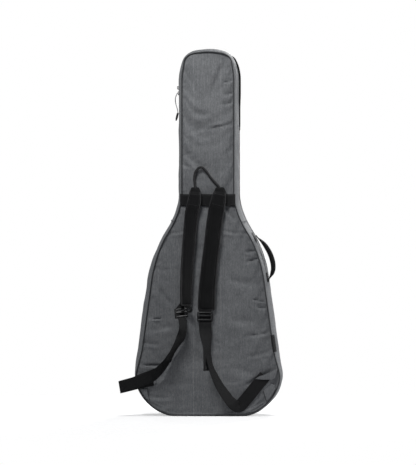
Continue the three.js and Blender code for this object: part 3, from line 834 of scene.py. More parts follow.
def crease(x, z, a, b, width, depth):
    """A fold from a to b that fades at its ends: a groove with a soft ridge under it. Depth is inwards."""
    a, b = np.array(a, float), np.array(b, float)
    d = b - a
    length = float(np.linalg.norm(d))
    d = d / length
    px, pz = x - a[0], z - a[1]
    t = (px * d[0] + pz * d[1]) / length
    off = pz * d[0] - px * d[1]
    ends = smooth((t + 0.25) / 0.5) * smooth((1.25 - t) / 0.5)
    bow = 0.12 * length * (np.clip(t, 0, 1) - 0.5) ** 2
    groove = np.exp(-(((off - bow) / width) ** 2))
    ridge = np.exp(-(((off - bow + 1.7 * width) / (1.2 * width)) ** 2))
    return depth * ends * (groove - 0.7 * ridge)


# Soft folds of the back panel: from, to, half width and depth.
BACK_FOLDS = [
    ((50, 1024), (80, 1030), 4.5, 2.6), ((46, 985), (80, 990), 4.5, 2.2), ((40, 955), (80, 962), 5.0, 2.0),
    ((4, 888), (74, 906), 5.5, -2.4), ((-42, 930), (-2, 926), 12.0, 2.4), ((44, 1078), (8, 992), 13.0, 2.4),
    ((-60, 868), (-8, 884), 8.0, 1.4), ((-80, 800), (-46, 806), 5.0, 1.5), ((-78, 770), (-52, 764), 5.0, 1.6),
    ((56, 640), (84, 600), 8.0, 3.2), ((66, 628), (70, 596), 4.0, -1.8), ((46, 566), (150, 560), 7.0, 1.6),
    ((-126, 560), (-72, 566), 6.0, 1.3), ((116, 502), (156, 508), 4.5, 3.0), ((118, 472), (168, 488), 5.0, 3.4),
    ((138, 358), (176, 350), 4.0, 2.6), ((150, 333), (186, 333), 4.0, 2.4), ((120, 244), (190, 256), 6.0, 2.6),
    ((130, 182), (202, 202), 7.0, 2.6), ((120, 96), (206, 142), 9.0, 3.4), ((-178, 300), (-146, 297), 3.5, 3.0),
    ((-152, 386), (-112, 340), 10.0, 2.8), ((-202, 224), (-150, 218), 6.5, 2.4),
    ((-204, 156), (-128, 152), 4.5, 4.0),
    ((-180, 58), (-120, 54), 7.0, 2.4), ((-176, 458), (-120, 446), 9.0, 1.8),
    ((-180, 262), (-110, 276), 10.0, 1.7),
    ((60, 300), (150, 286), 16.0, 2.0), ((70, 150), (150, 128), 16.0, 1.8), ((-150, 120), (-60, 96), 16.0, 1.8),
    ((60, 420), (150, 400), 16.0, 1.6),
]
LID_FOLDS = [
    ((-150, 470), (-80, 490), 10.0, 2.4), ((60, 500), (150, 470), 9.0, 2.6), ((-60, 640), (60, 655), 8.0, 2.0),
    ((-84, 700), (-40, 690), 5.0, 1.8), ((40, 600), (96, 570), 8.0, 2.6), ((-110, 560), (-60, 600), 9.0, 2.2),
    ((-200, 180), (-186, 300), 6.0, 1.8), ((190, 170), (184, 290), 6.0, 1.8), ((-120, 24), (110, 30), 6.0, 1.4),
]


def dents(x, z, gap, folds, seed):
    """How far the cloth lies below a flat panel: folds, puckers along the seam and slow unevenness."""
    points = np.stack([x, z], axis=-1)
    total = 1.1 * waves(points, 130.0, seed, 2) + 0.4 * waves(points, 36.0, seed + 1, 2)
    for a, b, width, depth in folds:
        total += FOLD_SCALE * crease(x, z, a, b, FOLD_WIDTH * width, depth)
    round_edge = np.arctan2(z - 420, x) * 520
    total += 1.1 * ripples(round_edge, 46.0, seed + 2) * np.exp(-gap / 9.0)
    return total * smooth(gap / 7.0)


def flat_map(data):
    """The same data with its map laid flat on the panel: z along it and x across."""
    points, faces, _ = data
    flat = np.concatenate([np.asarray(f) for f in faces])
    return points, faces, points[flat][:, [2, 0]] * MM


def slab(x, z, outer, inner):
    """A closed slab over a panel grid between two surfaces of y."""
    return flat_map(sandwich(np.stack([x, outer, z], axis=-1), np.stack([x, inner, z], axis=-1)))


def settled(x, z, sunk, gap):
    """Folds that the cloth finds by itself: a slightly oversized sheet, held at its edge, let go."""
    rows = np.arange(0, len(x), 2)
    columns = np.linspace(0, x.shape[1] - 1, 50).round().astype(int)
    cells = np.ix_(rows, columns)
    start = np.stack([x[cells], sunk[cells], z[cells]], axis=-1).reshape(-1, 3) * MM
    tall, broad = len(rows), len(columns)
    index = np.arange(tall * broad).reshape(tall, broad)
    quads = np.stack([index[:-1, :-1], index[:-1, 1:], index[1:, 1:], index[1:, :-1]], axis=-1)
    mesh = bpy.data.meshes.new("sheet")
    mesh.from_pydata(start.tolist(), [], quads.reshape(-1, 4).tolist())
    sheet = bpy.data.objects.new("sheet", mesh)
    scene = bpy.context.scene
    scene.collection.objects.link(sheet)
    held = sheet.vertex_groups.new(name="held")
    near_edge = gap[cells].ravel() < 6.0
    near_edge[index[[0, -1]].ravel()] = True
    near_edge[index[:, [0, -1]].ravel()] = True
    held.add(np.nonzero(near_edge)[0].tolist(), 1.0, "REPLACE")
    cloth = sheet.modifiers.new("cloth", "CLOTH")
    cloth.settings.vertex_group_mass = "held"
    cloth.settings.quality = 6
    cloth.settings.mass = 0.35
    cloth.settings.tension_stiffness = 12.0
    cloth.settings.compression_stiffness = 12.0
    cloth.settings.shear_stiffness = 4.0
    cloth.settings.bending_stiffness = 0.35
    cloth.settings.shrink_min = -0.012
    cloth.settings.effector_weights.gravity = 0.25
    cloth.collision_settings.use_collision = False
    cloth.point_cache.frame_start = 1
    cloth.point_cache.frame_end = SETTLING_FRAMES
    for step in range(1, SETTLING_FRAMES + 1):
        scene.frame_set(step)
    settled_mesh = sheet.evaluated_get(bpy.context.evaluated_depsgraph_get()).to_mesh()
    end = np.empty(len(start) * 3)
    settled_mesh.vertices.foreach_get("co", end)
    bpy.data.objects.remove(sheet)
    bpy.data.meshes.remove(mesh)
    scene.frame_set(1)
    moved = (end.reshape(-1, 3)[:, 1] - start[:, 1]).reshape(tall, broad) / MM
    moved = SETTLED_MOST * np.tanh(moved / SETTLED_MOST)
    wide = np.array([np.interp(np.arange(x.shape[1]), columns, row) for row in moved])
    return np.array([np.interp(np.arange(len(x)), rows, wide[:, k]) for k in range(x.shape[1])]).T


def panels():
    """Cover, foam and lining of the back panel and of the lid."""
    for part, body, sign, face, folds, cover_cloth, foam_thick, seed in (
        ("back", "shell", -1, back_y, BACK_FOLDS, CLOTH_BACK, 18.0, 11),
        ("lid", "lid", 1, front_y, LID_FOLDS, CLOTH, 15.0, 31),
    ):
        x, z = panel_grid(2.3, 96)
        gap = edge_distance(x, z, 2.3)
        flat = face(z)
        sunk = dents(x, z, gap, folds, seed)
        sunk = sunk + settled(x, z, sunk, gap)
        crown = 1.2 * (1 - np.exp(-gap / 22.0)) - 0.7 * np.exp(-gap / 2.0)
        level = crown - 1.1 - sunk
        level = np.where(level > PROUD, PROUD + 0.5 * np.tanh((level - PROUD) / 0.5), level)
        outer = flat + sign * level
        cover = slab(x, z, outer, outer - sign * 1.6)
        piece = make(f"{part}_panel_cloth", cover, cover_cloth, body, "heather_cloth", [f"{part}_cover"])
        rows, level = z[:, 0], np.minimum(level, 0)
        x, z = panel_grid(4.5, 60)
        gap = edge_distance(x, z, 4.5)
        flat = face(z)
        columns = np.linspace(0, level.shape[1] - 1, x.shape[1])
        under = np.array([np.interp(columns, np.arange(level.shape[1]), row) for row in level])
        under = np.array([np.interp(z[:, 0], rows, column) for column in under.T]).T
        top = flat + sign * (under - 2.6 - 1.2 * np.exp(-gap / 4.0))
        foot = flat - sign * (1.9 + foam_thick - 1.2 * np.exp(-gap / 4.0))
        piece = make(f"{part}_panel_foam", slab(x, z, top, foot), FOAM, body, "foam", [f"{part}_foam"])
        x, z = panel_grid(2.6, 90)
        gap = edge_distance(x, z, 2.6)
        depth = 2.6 + foam_thick
        quilt = np.abs(np.sin(np.pi * (x + z) / 70.0) * np.sin(np.pi * (x - z) / 70.0)) ** 0.35
        swell = 1.3 * quilt * smooth(gap / 10.0) + 0.3 * waves(np.stack([x, z], -1), 60.0, seed + 5, 2)
        inner = face(z) - sign * (depth + 0.4 + swell)
        outer = face(z) - sign * (depth - 0.5)
        piece = make(f"{part}_panel_lining", slab(x, z, outer, inner), PLUSH, body, "plush", [f"{part}_lining"])


# ---------------------------------------------------------------- gussets
def round_gusset(profile, face, start=0.0, end=None, sink=None):
    """A closed cross-section of (inset, side, shift) carried along the outline, or all the way round it."""
    loop = end is None
    rows, s = stations_between(start, PERIMETER if loop else end, 4.5)
    if loop:
        rows = rows[:-1]
    sections = gusset_rings(rows, profile, face)
    if sink is not None:
        sections += sink(s[: len(rows)], rows)[:, :, None] * inwards(rows)[:, None, :]
    return loft(sections, u=s * MM, loop=loop)


def gusset_profile(near, bulge, thick=1.8, steps=13):
    """Outer face from near (shift from the zip plane) to the panel's seam and back along the inner."""
    outer = [(-bulge * math.sin(math.pi * t) ** 0.8 if 0 < t < 1 else 0.0, t, near * (1 - t))
             for t in np.linspace(0, 1, steps)]
    inner = [(i + thick, t, shift) for i, t, shift in outer[::-1]]
    lip = [(outer[0][0] - 0.35, 0.02, near * 0.98)]
    return outer[:1] + lip + outer[1:] + inner


def puckered(profile, seed, size=1.1, puff=0.0):
    """Sideways dents of a gusset: small near its seams, slow in its middle, and puffed out on the left."""
    side = np.array([p[1] for p in profile])

    def sink(s, rows):
        slow = waves(np.stack(np.broadcast_arrays(s[:, None] * 1.0, side[None] * 90.0), -1), 95.0, seed, 2)
        quick = ripples(s, 27.0, seed + 1)[:, None]
        rim = np.exp(-side / 0.16) + np.exp(-(1 - side) / 0.16)
        middle = np.sin(np.pi * np.clip(side, 0, 1))
        return size * middle * (slow + quick * rim) - puff * middle * puffed_share(rows)[:, None]

    return sink


def puffed_share(rows):
    """1 where the padding pushes the left side of the body out, fading to 0 away from there."""
    height, reach = PUFFED_Z
    return np.where(rows[:, 0] < 0, np.exp(-(((rows[:, 1] - height) / reach) ** 4)), 0.0)


def gussets():
    """The side walls: outer cloth, foam and lining."""
    join = length_at(JOIN_Z)
    profile = gusset_profile(-TAPE + 1.2, REAR_BULGE)
    sink = puckered(profile, 51, puff=PUFFED)
    for name, node, start, end in (
        ("rear_side_cloth_body", "rear_gusset_body", PERIMETER - join, PERIMETER + join),
        ("rear_side_cloth_neck", "rear_gusset_neck", join, PERIMETER - join),
    ):
        data = round_gusset(profile, back_y, start + 0.2, end - 0.2, sink)
        make(name, data, CLOTH, "shell", "heather_cloth", [node])
    profile = gusset_profile(TAPE - 1.2, FRONT_BULGE)
    data = round_gusset(profile, front_y, sink=puckered(profile, 61))
    make("front_side_cloth", data, CLOTH, "lid", "heather_cloth", ["front_gusset"])

    for part, body, sign, face, depth in (
        ("rear", "shell", -1, back_y, 23.5),
        ("front", "lid", 1, front_y, 20.3),
    ):
        d = -sign * depth
        foam = [(4.0, 0.04, sign * 2.4), (3.4, 0.3, 0), (3.4, 0.7, 0), (4.6, 1, d), (14.6, 1, d), (15.0, 0.6, 0),
                (15.0, 0.2, 0), (14.2, 0.0, sign * 3.0), (12.5, 0.0, sign * 2.2), (6.0, 0.0, sign * 2.2)]
        piece = make(f"{part}_side_foam", round_gusset(foam, face), FOAM, body, "foam", [f"{part}_gusset_foam"])
        lining = [(16.9, 1, d), (17.4, 0.6, 0), (17.4, 0.3, 0), (16.9, 0, sign * 4), (16.2, 0, sign * 1.5),
                  (14.6, 0, sign * 0.6), (10.0, 0, sign * 0.5), (5.0, 0, sign * 0.5), (5.0, 0, sign * 1.5),
                  (10.0, 0, sign * 1.6), (14.0, 0, sign * 1.8), (15.1, 0, sign * 3), (15.3, 0.3, 0),
                  (15.3, 0.6, 0), (15.3, 1, d)]
        data = round_gusset(lining, face, sink=puckered(lining, 71, 0.5))
        piece = make(f"{part}_side_lining", data, PLUSH, body, "plush", [f"{part}_gusset_lining"])


def edge_line(inset, side, shift, face, spacing):
    """A line of points all the way round the gusset, and its stations."""
    rows = stations_between(0.0, PERIMETER, spacing)[0][:-1]
    return gusset_points(rows, (inset, side, shift), face), rows


def pipings():
    """The piping round each panel, and the stitches beside it."""
    for part, body, sign, face in (("back", "shell", -1, back_y), ("front", "lid", 1, front_y)):
        centre, rows = edge_line(PIPING_R + GAP, 1, sign * PIPING_RISE, face, 4.0)
        wobble = ripples(np.arange(len(centre)) * 4.0, 42.0, 81)
        centre = centre + 0.22 * wobble[:, None] * np.array([0, 1.0, 0])
        angle = angles(12)[None, :, None]
        outward = np.array([0, float(sign), 0])
        ring = np.cos(angle) * inwards(rows)[:, None] + np.sin(angle) * outward
        u = along(np.vstack([centre, centre[:1]])) * MM
        data = loft(centre[:, None] + PIPING_SEEN_R * ring, u=u, loop=True)
        make(f"{part}_piping_cord", data, PIPING, body, "trim", [f"{part}_piping"])
        line, rows = edge_line(-0.9, 0.93, 0.0, face, 3.0)
        make(f"{part}_side_seam", seam(line, -inwards(rows)), GREY_THREAD, body, "heather_cloth")


def waist_joins():
    """The rolled seams where the two pieces of the rear gusset meet, one on each side."""
    for side in ("right", "left"):
        s = length_at(JOIN_Z, side == "right")
        rows, _ = stations_between(s - 4, s + 4, 8)
        row = rows[:1] * 0.5 + rows[-1:] * 0.5
        steps = np.linspace(0.06, 0.97, 26)
        bulge = [(-(REAR_BULGE + 0.5) * math.sin(math.pi * t) ** 0.8 - 0.5, t, -TAPE * (1 - t)) for t in steps]
        path = np.vstack([gusset_points(row, corner, back_y) for corner in bulge])
        path[:, 2] += 0.5 * ripples(steps * 90, 30.0, 91)
        make(f"waist_seam_{side}", tube(path, 1.7, 8), CLOTH, "shell", "heather_cloth")


# ---------------------------------------------------------------- the main zip
def zip_edge():
    """Zip tape that shows beside the rear side wall where it turns round the head."""
    rows, s = stations_between(length_at(ZIP_EDGE_Z[0]), length_at(ZIP_EDGE_Z[1]), 3.0)
    reach = 0.35 + 0.65 * smooth((s - s[0] - 60.0) / 60.0)
    grown = reach * smooth((s - s[0]) / 20.0) * smooth((s[-1] - s) / 14.0)
    far = -5.0 - 14.5 * grown
    profile = [(0.4, 0, -3.0), (-1.8, 0, -4.0), (-2.9 - 2.2 * grown, 0, -4.4 - 6.5 * grown),
               (-3.2 - 3.0 * grown, 0, far), (1.5, 0, far)]
    make("zip_tape_edge", loft(gusset_rings(rows, profile, back_y), u=s * MM), ZIP_TAPE, "shell", "webbing")


def main_zip():
    """Tape, teeth and seam of the main zip, on the shell and on the lid."""
    start, end = length_at(SHOULDER_Z) + 0.4, PERIMETER + length_at(BOUT_Z) - 0.4
    rows, s = stations_between(start, end, 5.0)

    def sunk(places, spots, lengths):
        """Near the hinge the zip lies deeper, out of the way when the lid swings."""
        ends = smooth((lengths - start) / ZIP_END) * smooth((end - lengths) / ZIP_END)
        deeper = inwards(spots) * ((1 - ends) * 2.4)[:, None]
        return places + (deeper if places.ndim == 2 else deeper[:, None])

    pitch = 3.3
    tooth = block((1.7, 3.5, 2.3), 0.45)
    for part, sign, face in (("shell", -1, back_y), ("lid", 1, front_y)):
        corners = [(0.6, 0, sign * 0.5), (0.7, 0, sign * 3.5), (2.7, 0, sign * TAPE_EDGE),
                   (4.1, 0, sign * TAPE_EDGE), (2.1, 0, sign * 3.5), (2.0, 0, sign * 0.5)]
        tape = sunk(gusset_rings(rows, corners, face), rows, s)
        make(f"main_zip_tape_{part}", loft(tape, u=s * MM), ZIP_TAPE, part, "webbing", [f"zip_tape_{part}"])
        at = np.arange(start + 9 + (pitch / 2 if sign > 0 else 0), end - 9, pitch)
        spots = stations_at(at)
        place = sunk(gusset_points(spots, (-0.75, 0, sign * 1.35), face), spots, at)
        run = np.column_stack([-spots[:, 3], 0 * at, spots[:, 2]])
        teeth = scatter(tooth, place, run, np.tile([0.0, 1.0, 0.0], (len(at), 1)), -inwards(spots))
        cord = tube(sunk(gusset_points(rows, (0.0, 0, sign * 2.6), face), rows, s), 0.6, 6)
        make(f"main_zip_teeth_{part}", joined([teeth, cord]), PLASTIC, part, "black_plastic",
             [f"zip_teeth_{part}"])
        line = gusset_points(rows, (-1.0, 0.02, sign * 8.6), face)
        make(f"zip_seam_{part}", seam(line, -inwards(rows), 4.0), GREY_THREAD, part, "heather_cloth")


def hinge():
    """The strip of cloth that joins the lid to the shell; it bends about the zip plane."""
    start, end = length_at(BOUT_Z), length_at(SHOULDER_Z)
    rows, s = stations_between(start + 0.4, end - 0.4, 5.0)
    outer = [(1.9 + 1.1 * (abs(t) / TAPE_EDGE) ** 2, 0, t) for t in np.linspace(-TAPE_EDGE, TAPE_EDGE, 17)]
    inner = [(c + 1.4, 0, t) for c, _, t in outer[::-1]]
    sections = gusset_rings(rows, outer + inner, back_y)
    sections += 0.3 * ripples(s, 30.0, 101)[:, None, None] * inwards(rows)[:, None, :]
    piece = make("lid_hinge_cloth", loft(sections, u=s * MM), HINGE_CLOTH, None, "trim",
                 ["hinge_cloth_shell", "hinge_cloth_lid"])
    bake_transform(piece)


def arch(width, rise, thick, deep, n=13):
    """A slider's bridge: a flat bar bent over, feet at z 0, standing along x, wide along y."""
    t = np.linspace(0, math.pi, n)
    path = np.column_stack([-np.cos(t) * width / 2, 0 * t, np.sin(t) ** 0.6 * rise])
    return loft(bar_sections(path, np.tile([0, 1.0, 0], (n, 1)), deep, thick))


def bar_sections(path, across, width, thick, bevel=0.25):
    """Cross-sections of a flat bar with rounded edges along a path."""
    d = tangents(np.asarray(path, float))
    across = unit(across - np.einsum("ij,ij->i", across, d)[:, None] * d)
    out = np.cross(across, d)
    b = bevel
    ring = [(-1, -1 + b), (-1 + b, -1), (1 - b, -1), (1, -1 + b), (1, 1 - b), (1 - b, 1), (-1 + b, 1), (-1, 1 - b)]
    ring = np.array(ring) * (width / 2, thick / 2)
    near_corner = width / 2 - bevel * min(thick, width)
    ring[:, 0] = np.sign(ring[:, 0]) * np.where(np.abs(ring[:, 0]) < width / 2, near_corner, width / 2)
    return path[:, None] + ring[None, :, :1] * across[:, None] + ring[None, :, 1:] * out[:, None]


def slider(width, length, thick):
    """A zip slider, lying in x (across) and y (along), its top at +z: two plates, a post and a bridge."""
    outline = np.array([(-0.36, -0.5), (0.36, -0.5), (0.5, -0.1), (0.5, 0.3), (0.3, 0.5), (0, 0.42), (-0.3, 0.5),
                        (-0.5, 0.3), (-0.5, -0.1)]) * (width, length)
    leaf, low = 0.3 * thick, -0.05 * thick
    parts = [placed(plate(outline, leaf, 0.35), Matrix.Translation((0, 0, z)))
             for z in (leaf / 2, -thick / 2 + leaf / 2)]
    parts.append(block((width * 0.3, length * 0.3, thick), 0.3, (0, length * 0.26, low)))
    for side in (-1, 1):
        wall = (side * (width / 2 - 0.45), -0.08 * length, low)
        parts.append(block((0.9, length * 0.55, thick * 0.85), 0.25, wall))
    bridge = placed(arch(length * 0.62, thick * 0.62, 1.0, width * 0.24), Matrix.Rotation(math.pi / 2, 4, "Z"))
    parts.append(placed(bridge, Matrix.Translation((0, 0, leaf * 0.8))))
    return joined(parts)


def pull_tab(width, length, thick):
    """A flat pull with a window at its top and grip ridges below, hanging down y."""
    outline = rounded_outline(width, length, width * 0.38)
    outline[:, 0] *= np.where(outline[:, 1] < 0, 1.0, 0.82)
    window = rounded_outline(width * 0.46, width * 0.6, width * 0.2) + (0, length * 0.5 - width * 0.62)
    ridges = [block((width * 0.5, 0.7, thick * 1.25), 0.2, (0, -length * (0.1 + 0.09 * k), 0)) for k in range(4)]
    return joined([plate(outline, thick, 0.3, window), *ridges])


def facing_out(place, out, up):
    """A matrix that puts +z along out and +y along up, at that place."""
    out, up = Vector(out).normalized(), Vector(up)
    up = (up - up.dot(out) * out).normalized()
    x = up.cross(out)
    return Matrix.Translation(Vector(place)) @ Matrix((x, up, out)).transposed().to_4x4()


def node_centre(node):
    """A CAD node's middle and size, in millimetres."""
    low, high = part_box(node)
    return (low + high) * 500.0, (high - low) * 1000.0


def main_sliders():
    """The main zip's two sliders, with a tab pull on one and a cord pull on the other."""
    up = Vector((0, (ZIP_Y[1] - ZIP_Y[0]) / HEIGHT, 1))
    for which, way in (("lower", -up), ("upper", up)):
        node = f"zip_slider_{which}"
        centre, size = node_centre(node)
        data = placed(slider(9.0, 14.0, size.x), facing_out(centre, (-1, 0, 0), way))
        make(f"main_slider_{which}", data, METAL, f"{which}_slider", "zip_metal", [node])
    centre, _ = node_centre("zip_pull_tab")
    data = placed(pull_tab(6.0, 11.0, 1.5), facing_out(centre, (-1, 0, 0), -up))
    make("upper_pull_tab", data, METAL, "upper_pull", "zip_metal", ["zip_pull_tab"])

    centre, size = node_centre("zip_pull_grip")
    x, y, a = centre.x, centre.y, angles(14)
    rings = []
    for t in np.linspace(0, 1, 15):
        swell = 0.62 + 0.38 * math.sin(math.pi * min(1.0, 0.12 + 0.94 * t)) + 0.09 * (int(t * 14) % 2)
        z = centre.z + size.z / 2 - t * size.z
        rings.append(np.column_stack([x + 1.2 - 5.4 * t + 3.5 * swell * np.cos(a), y + 4.5 * swell * np.sin(a),
                                      np.full(14, z)]))
    grip = make("cord_pull_grip", loft(np.array(rings)), PLASTIC, "lower_pull", "black_plastic", ["zip_pull_grip"])
    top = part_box("zip_pull_cord")[1].z * 1000 - 1.4
    for side, sign in (("back", -1.0), ("front", 1.0)):
        route = [(x, y + 0.25 * sign, top), (x - 2.2, y + 1.7 * sign, top - 4),
                 (x - 5.6, y + 2.7 * sign, top - 13),
                 (x - 6.6, y + 3.2 * sign, top - 22), (x - 4.4, y + 2.6 * sign, top - 36),
                 (x - 0.4, y + 1.8 * sign, top - 50), (x + 1.2, y + 1.3 * sign, top - 60),
                 (x + 1.2, y + 1.1 * sign, top - 66)]
        path, s = spline(route, 1.6)
        cord = make(f"pull_cord_{side}", tube(path, 1.15, 8), GREY_BRAID, "lower_pull", "pull_cord",
                    ["zip_pull_cord"])


def haul_loop():
    """The loop of stiff cord that the bag is hung by; its ends go down into the strap tops."""
    y = -85.0
    route = [(-38.5, y, 700), (-39.5, y, 712), (-40.5, y, 736), (-34.5, y - 0.6, 754), (-24, y - 1.2, 763.5),
             (-17.5, y - 1.2, 763.5), (-6, y - 0.6, 754), (9, y, 733), (24, y, 716), (35.5, y, 703), (37, y, 700)]
    path, s = spline(route, 2.4)
    piece = make("haul_cord", tube(path, 3.9, 14), BLACK_BRAID, "top_loop", "webbing", ["haul_loop"])


# ---------------------------------------------------------------- straps and webbing on the back
def laid(steps, spacing):
    """Middle line and directions of a band on the back: steps are x, z, lift, turn, width, thickness.

    lift is how far the band's nearer edge stands off the back panel, and turn swings its far edge away.
    """
    rows = []
    for x, z, lift, turn, width, thick in steps:
        reach = (width * math.sin(abs(turn)) + thick) / 2
        rows.append((x, BACK_Y - lift - reach, z, turn, width, thick))
    rows, s = spline(rows, spacing)
    centre, turn, width, thick = rows[:, :3], rows[:, 3], rows[:, 4], rows[:, 5]
    d = tangents(centre)
    facing = np.column_stack([np.sin(turn), -np.cos(turn), 0 * turn])
    across = unit(np.cross(d, facing))
    out = unit(np.cross(across, d))
    return centre, across, out, width, thick, s


def ribbon_sections(centre, across, out, width, thick, cup=0.0):
    """Flat webbing: rounded selvedges, and a little cupped across its width."""
    u = np.concatenate([np.linspace(-1, 1, 13), np.linspace(1, -1, 13)])
    edge = np.clip(1 - np.abs(u) ** 14, 0, 1) ** 0.5
    v = np.where(np.arange(26) < 13, 1.0, -1.0) * (0.25 + 0.75 * edge)
    lift = cup * (1 - u**2)
    return (
        centre[:, None]
        + (u[None] * width[:, None] / 2)[:, :, None] * across[:, None]
        + (v[None] * thick[:, None] / 2 + lift[None])[:, :, None] * out[:, None]
    )


def flat_strip(steps, seed, thick, cup, ripple):
    """Webbing from steps of x, z, lift and perhaps turn and width, and its middle line and directions."""
    full = [(x, z, lift, *(rest[:1] or (0.0,)), *(rest[1:2] or (WEBBING,)), thick) for x, z, lift, *rest in steps]
    centre, across, out, width, depth, s = laid(full, 4.0)
    wave = ripple * ripples(s, 60.0, seed) * smooth(s / 15) * smooth((s[-1] - s) / 15)
    centre = centre + wave[:, None] * out
    sections = ribbon_sections(centre, across, out, width, depth, cup)
    v = np.concatenate([np.linspace(0, 1, 13), np.linspace(1, 0, 13), [0]]) * float(np.mean(width)) * MM
    return loft(sections, u=s * MM, v=v), (centre, across, out, width, depth, s)


# x, z, lift, turn, width and thickness, from the domed top over the band to the end by the buckle
STRAP_PATHS = {
    "left": [(-38.0, 702.5, 1.0, 0, 19, 5), (-38.0, 700.5, 0.8, 0, 24, 8), (-38.0, 695, 0.8, 0, 28, 9.5),
             (-38.0, 688, 1.2, 0, 32, 9.5), (-38.6, 681, 5.4, 0, 35, 9), (-39.8, 670, 6.8, 0, 38, 8),
             (-41.6, 656, 6.8, 0, 40, 8.5), (-44.4, 644, 5.6, 0, 40, 10), (-48.0, 626, 2.4, 0, 39.5, 12),
             (-52.0, 590, 2.2, 0, 38.5, 12), (-57.0, 530, 2.2, 0.1, 37.5, 12), (-61.0, 480, 2.2, 0.22, 37, 12),
             (-63.6, 430, 2.2, 0.4, 37, 12), (-65.0, 385, 2.2, 0.54, 37, 12), (-65.6, 352, 2.2, 0.58, 36.5, 11),
             (-65.8, 342, 2.2, 0.58, 36, 10)],
    "right": [(38.0, 702.5, 1.0, 0, 20, 5), (38.0, 700.5, 0.8, 0, 26, 8), (38.0, 695, 0.8, 0, 31, 9.5),
              (38.0, 688, 1.2, 0, 35, 9.5), (37.0, 681, 5.4, 0, 38, 9), (34.6, 670, 6.8, 0, 42, 8),
              (32.0, 656, 6.8, 0, 45, 8.5), (29.0, 644, 5.6, 0, 46, 10), (26.0, 626, 2.4, 0, 46, 12),
              (20.6, 590, 2.2, 0, 46, 12), (14.0, 530, 2.2, 0, 46, 12), (7.6, 480, 2.2, 0, 46.5, 12),
              (1.6, 420, 2.2, 0, 48, 12), (-1.8, 380, 2.2, 0, 49, 12), (-3.2, 345, 2.2, 0, 50, 12),
              (-3.4, 327, 2.2, 0, 49.5, 11)],
}


def strap(side):
    """A padded shoulder strap, with its binding and stitching."""
    centre, across, out, width, thick, s = laid(STRAP_PATHS[side], 3.5)
    u = np.linspace(-1, 1, 25)
    crown = 0.4 + 0.6 * (1 - np.abs(u) ** 3.2)
    channel = np.exp(-(((np.abs(u) - 0.78) / 0.055) ** 2))
    ends = smooth(s / 6) * smooth((s[-1] - s) / 5)
    body = 0.42 + 0.58 * ends
    top = crown[None] * body[:, None] - 0.13 * channel[None] * ends[:, None]
    wave = waves(np.stack(np.broadcast_arrays(s[:, None] * 1.0, u[None] * 25), -1), 60.0, 120 + len(side), 2)
    top = top + 0.045 * wave * (1 - u**2)[None]
    foot = -0.9 * crown[None] * body[:, None]
    u2 = np.concatenate([u, u[::-1]])
    v2 = np.concatenate([top, foot[:, ::-1]], axis=1)
    sections = (
        centre[:, None] + (u2[None] * width[:, None] / 2)[:, :, None] * across[:, None]
        + (v2 * thick[:, None] / 2)[:, :, None] * out[:, None]
    )
    v = np.concatenate([u2, u[:1]]) * 25 * MM
    pad = make(f"strap_pad_{side}", loft(sections, u=s * MM, v=v), STRAP, None, "strap_pad",
               [f"shoulder_strap_{side}", f"strap_cuff_{side}"])

    # the binding: a folded tape round both edges and the end
    keep = s > 9
    wide, tall = squared(angles(12), 0.7)
    ring = (wide * 2.3)[None, :, None] * across[:, None] + (
        tall[None] * (0.27 * thick + 0.9)[:, None])[:, :, None] * out[:, None]
    edges = []
    for way in (-1, 1):
        line = centre + (way * (width / 2 - 0.6))[:, None] * across
        edges.append(loft((line[:, None] + ring)[keep], u=s[keep] * MM))
    tip = centre[-1] + np.linspace(-1, 1, 13)[:, None] * (width[-1] / 2 - 1.0) * across[-1]
    edges.append(loft(bar_sections(tip, np.tile(out[-1], (13, 1)), 6.6, 4.0)))
    binding = make(f"strap_binding_{side}", joined(edges), BINDING, None, "strap_pad")

    lines = []
    sewn = s > 5
    for way in (-0.78, 0.78):
        line = centre + (way * width / 2)[:, None] * across + (0.5 * thick * 0.62)[:, None] * out
        lines.append(seam(line[sewn], out[sewn], 3.8, 2.8, 0.7, 0.6))
    share = np.linspace(-0.8, 0.8, 9)
    for z in (BAND_Z[0] + 4, BAND_Z[1] - 2):
        k = int(np.argmin(np.abs(centre[:, 2] - z)))
        lift = thick[k] / 2 * (0.4 + 0.6 * (1 - np.abs(share) ** 3.2))
        line = centre[k] + share[:, None] * width[k] / 2 * across[k] + (lift + 0.15)[:, None] * out[k]
        lines.append(seam(line, np.tile(out[k], (9, 1)), 3.2, 2.4, 0.8, 0.6))
    stitching = make(f"strap_stitching_{side}", joined(lines), BLACK_THREAD, None, "strap_pad")
    for piece in (pad, binding, stitching):
        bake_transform(piece)


BUCKLES = {
    "left": {"x": -81.0, "z": 317.0, "roll": -0.08, "turn": 0.74, "depth": 20.0},
    "right": {"x": -7.6, "z": 305.6, "roll": 0.0, "turn": 0.0, "depth": 8.6},
}


def buckle_place(side):
    """The matrix that puts a ladder lock, or webbing in it, where it lies on the back."""
    b = BUCKLES[side]
    spot = Matrix.Translation((b["x"], BACK_Y - b["depth"], b["z"]))
    return spot @ Matrix.Rotation(b["turn"], 4, "Z") @ Matrix.Rotation(b["roll"], 4, "Y")


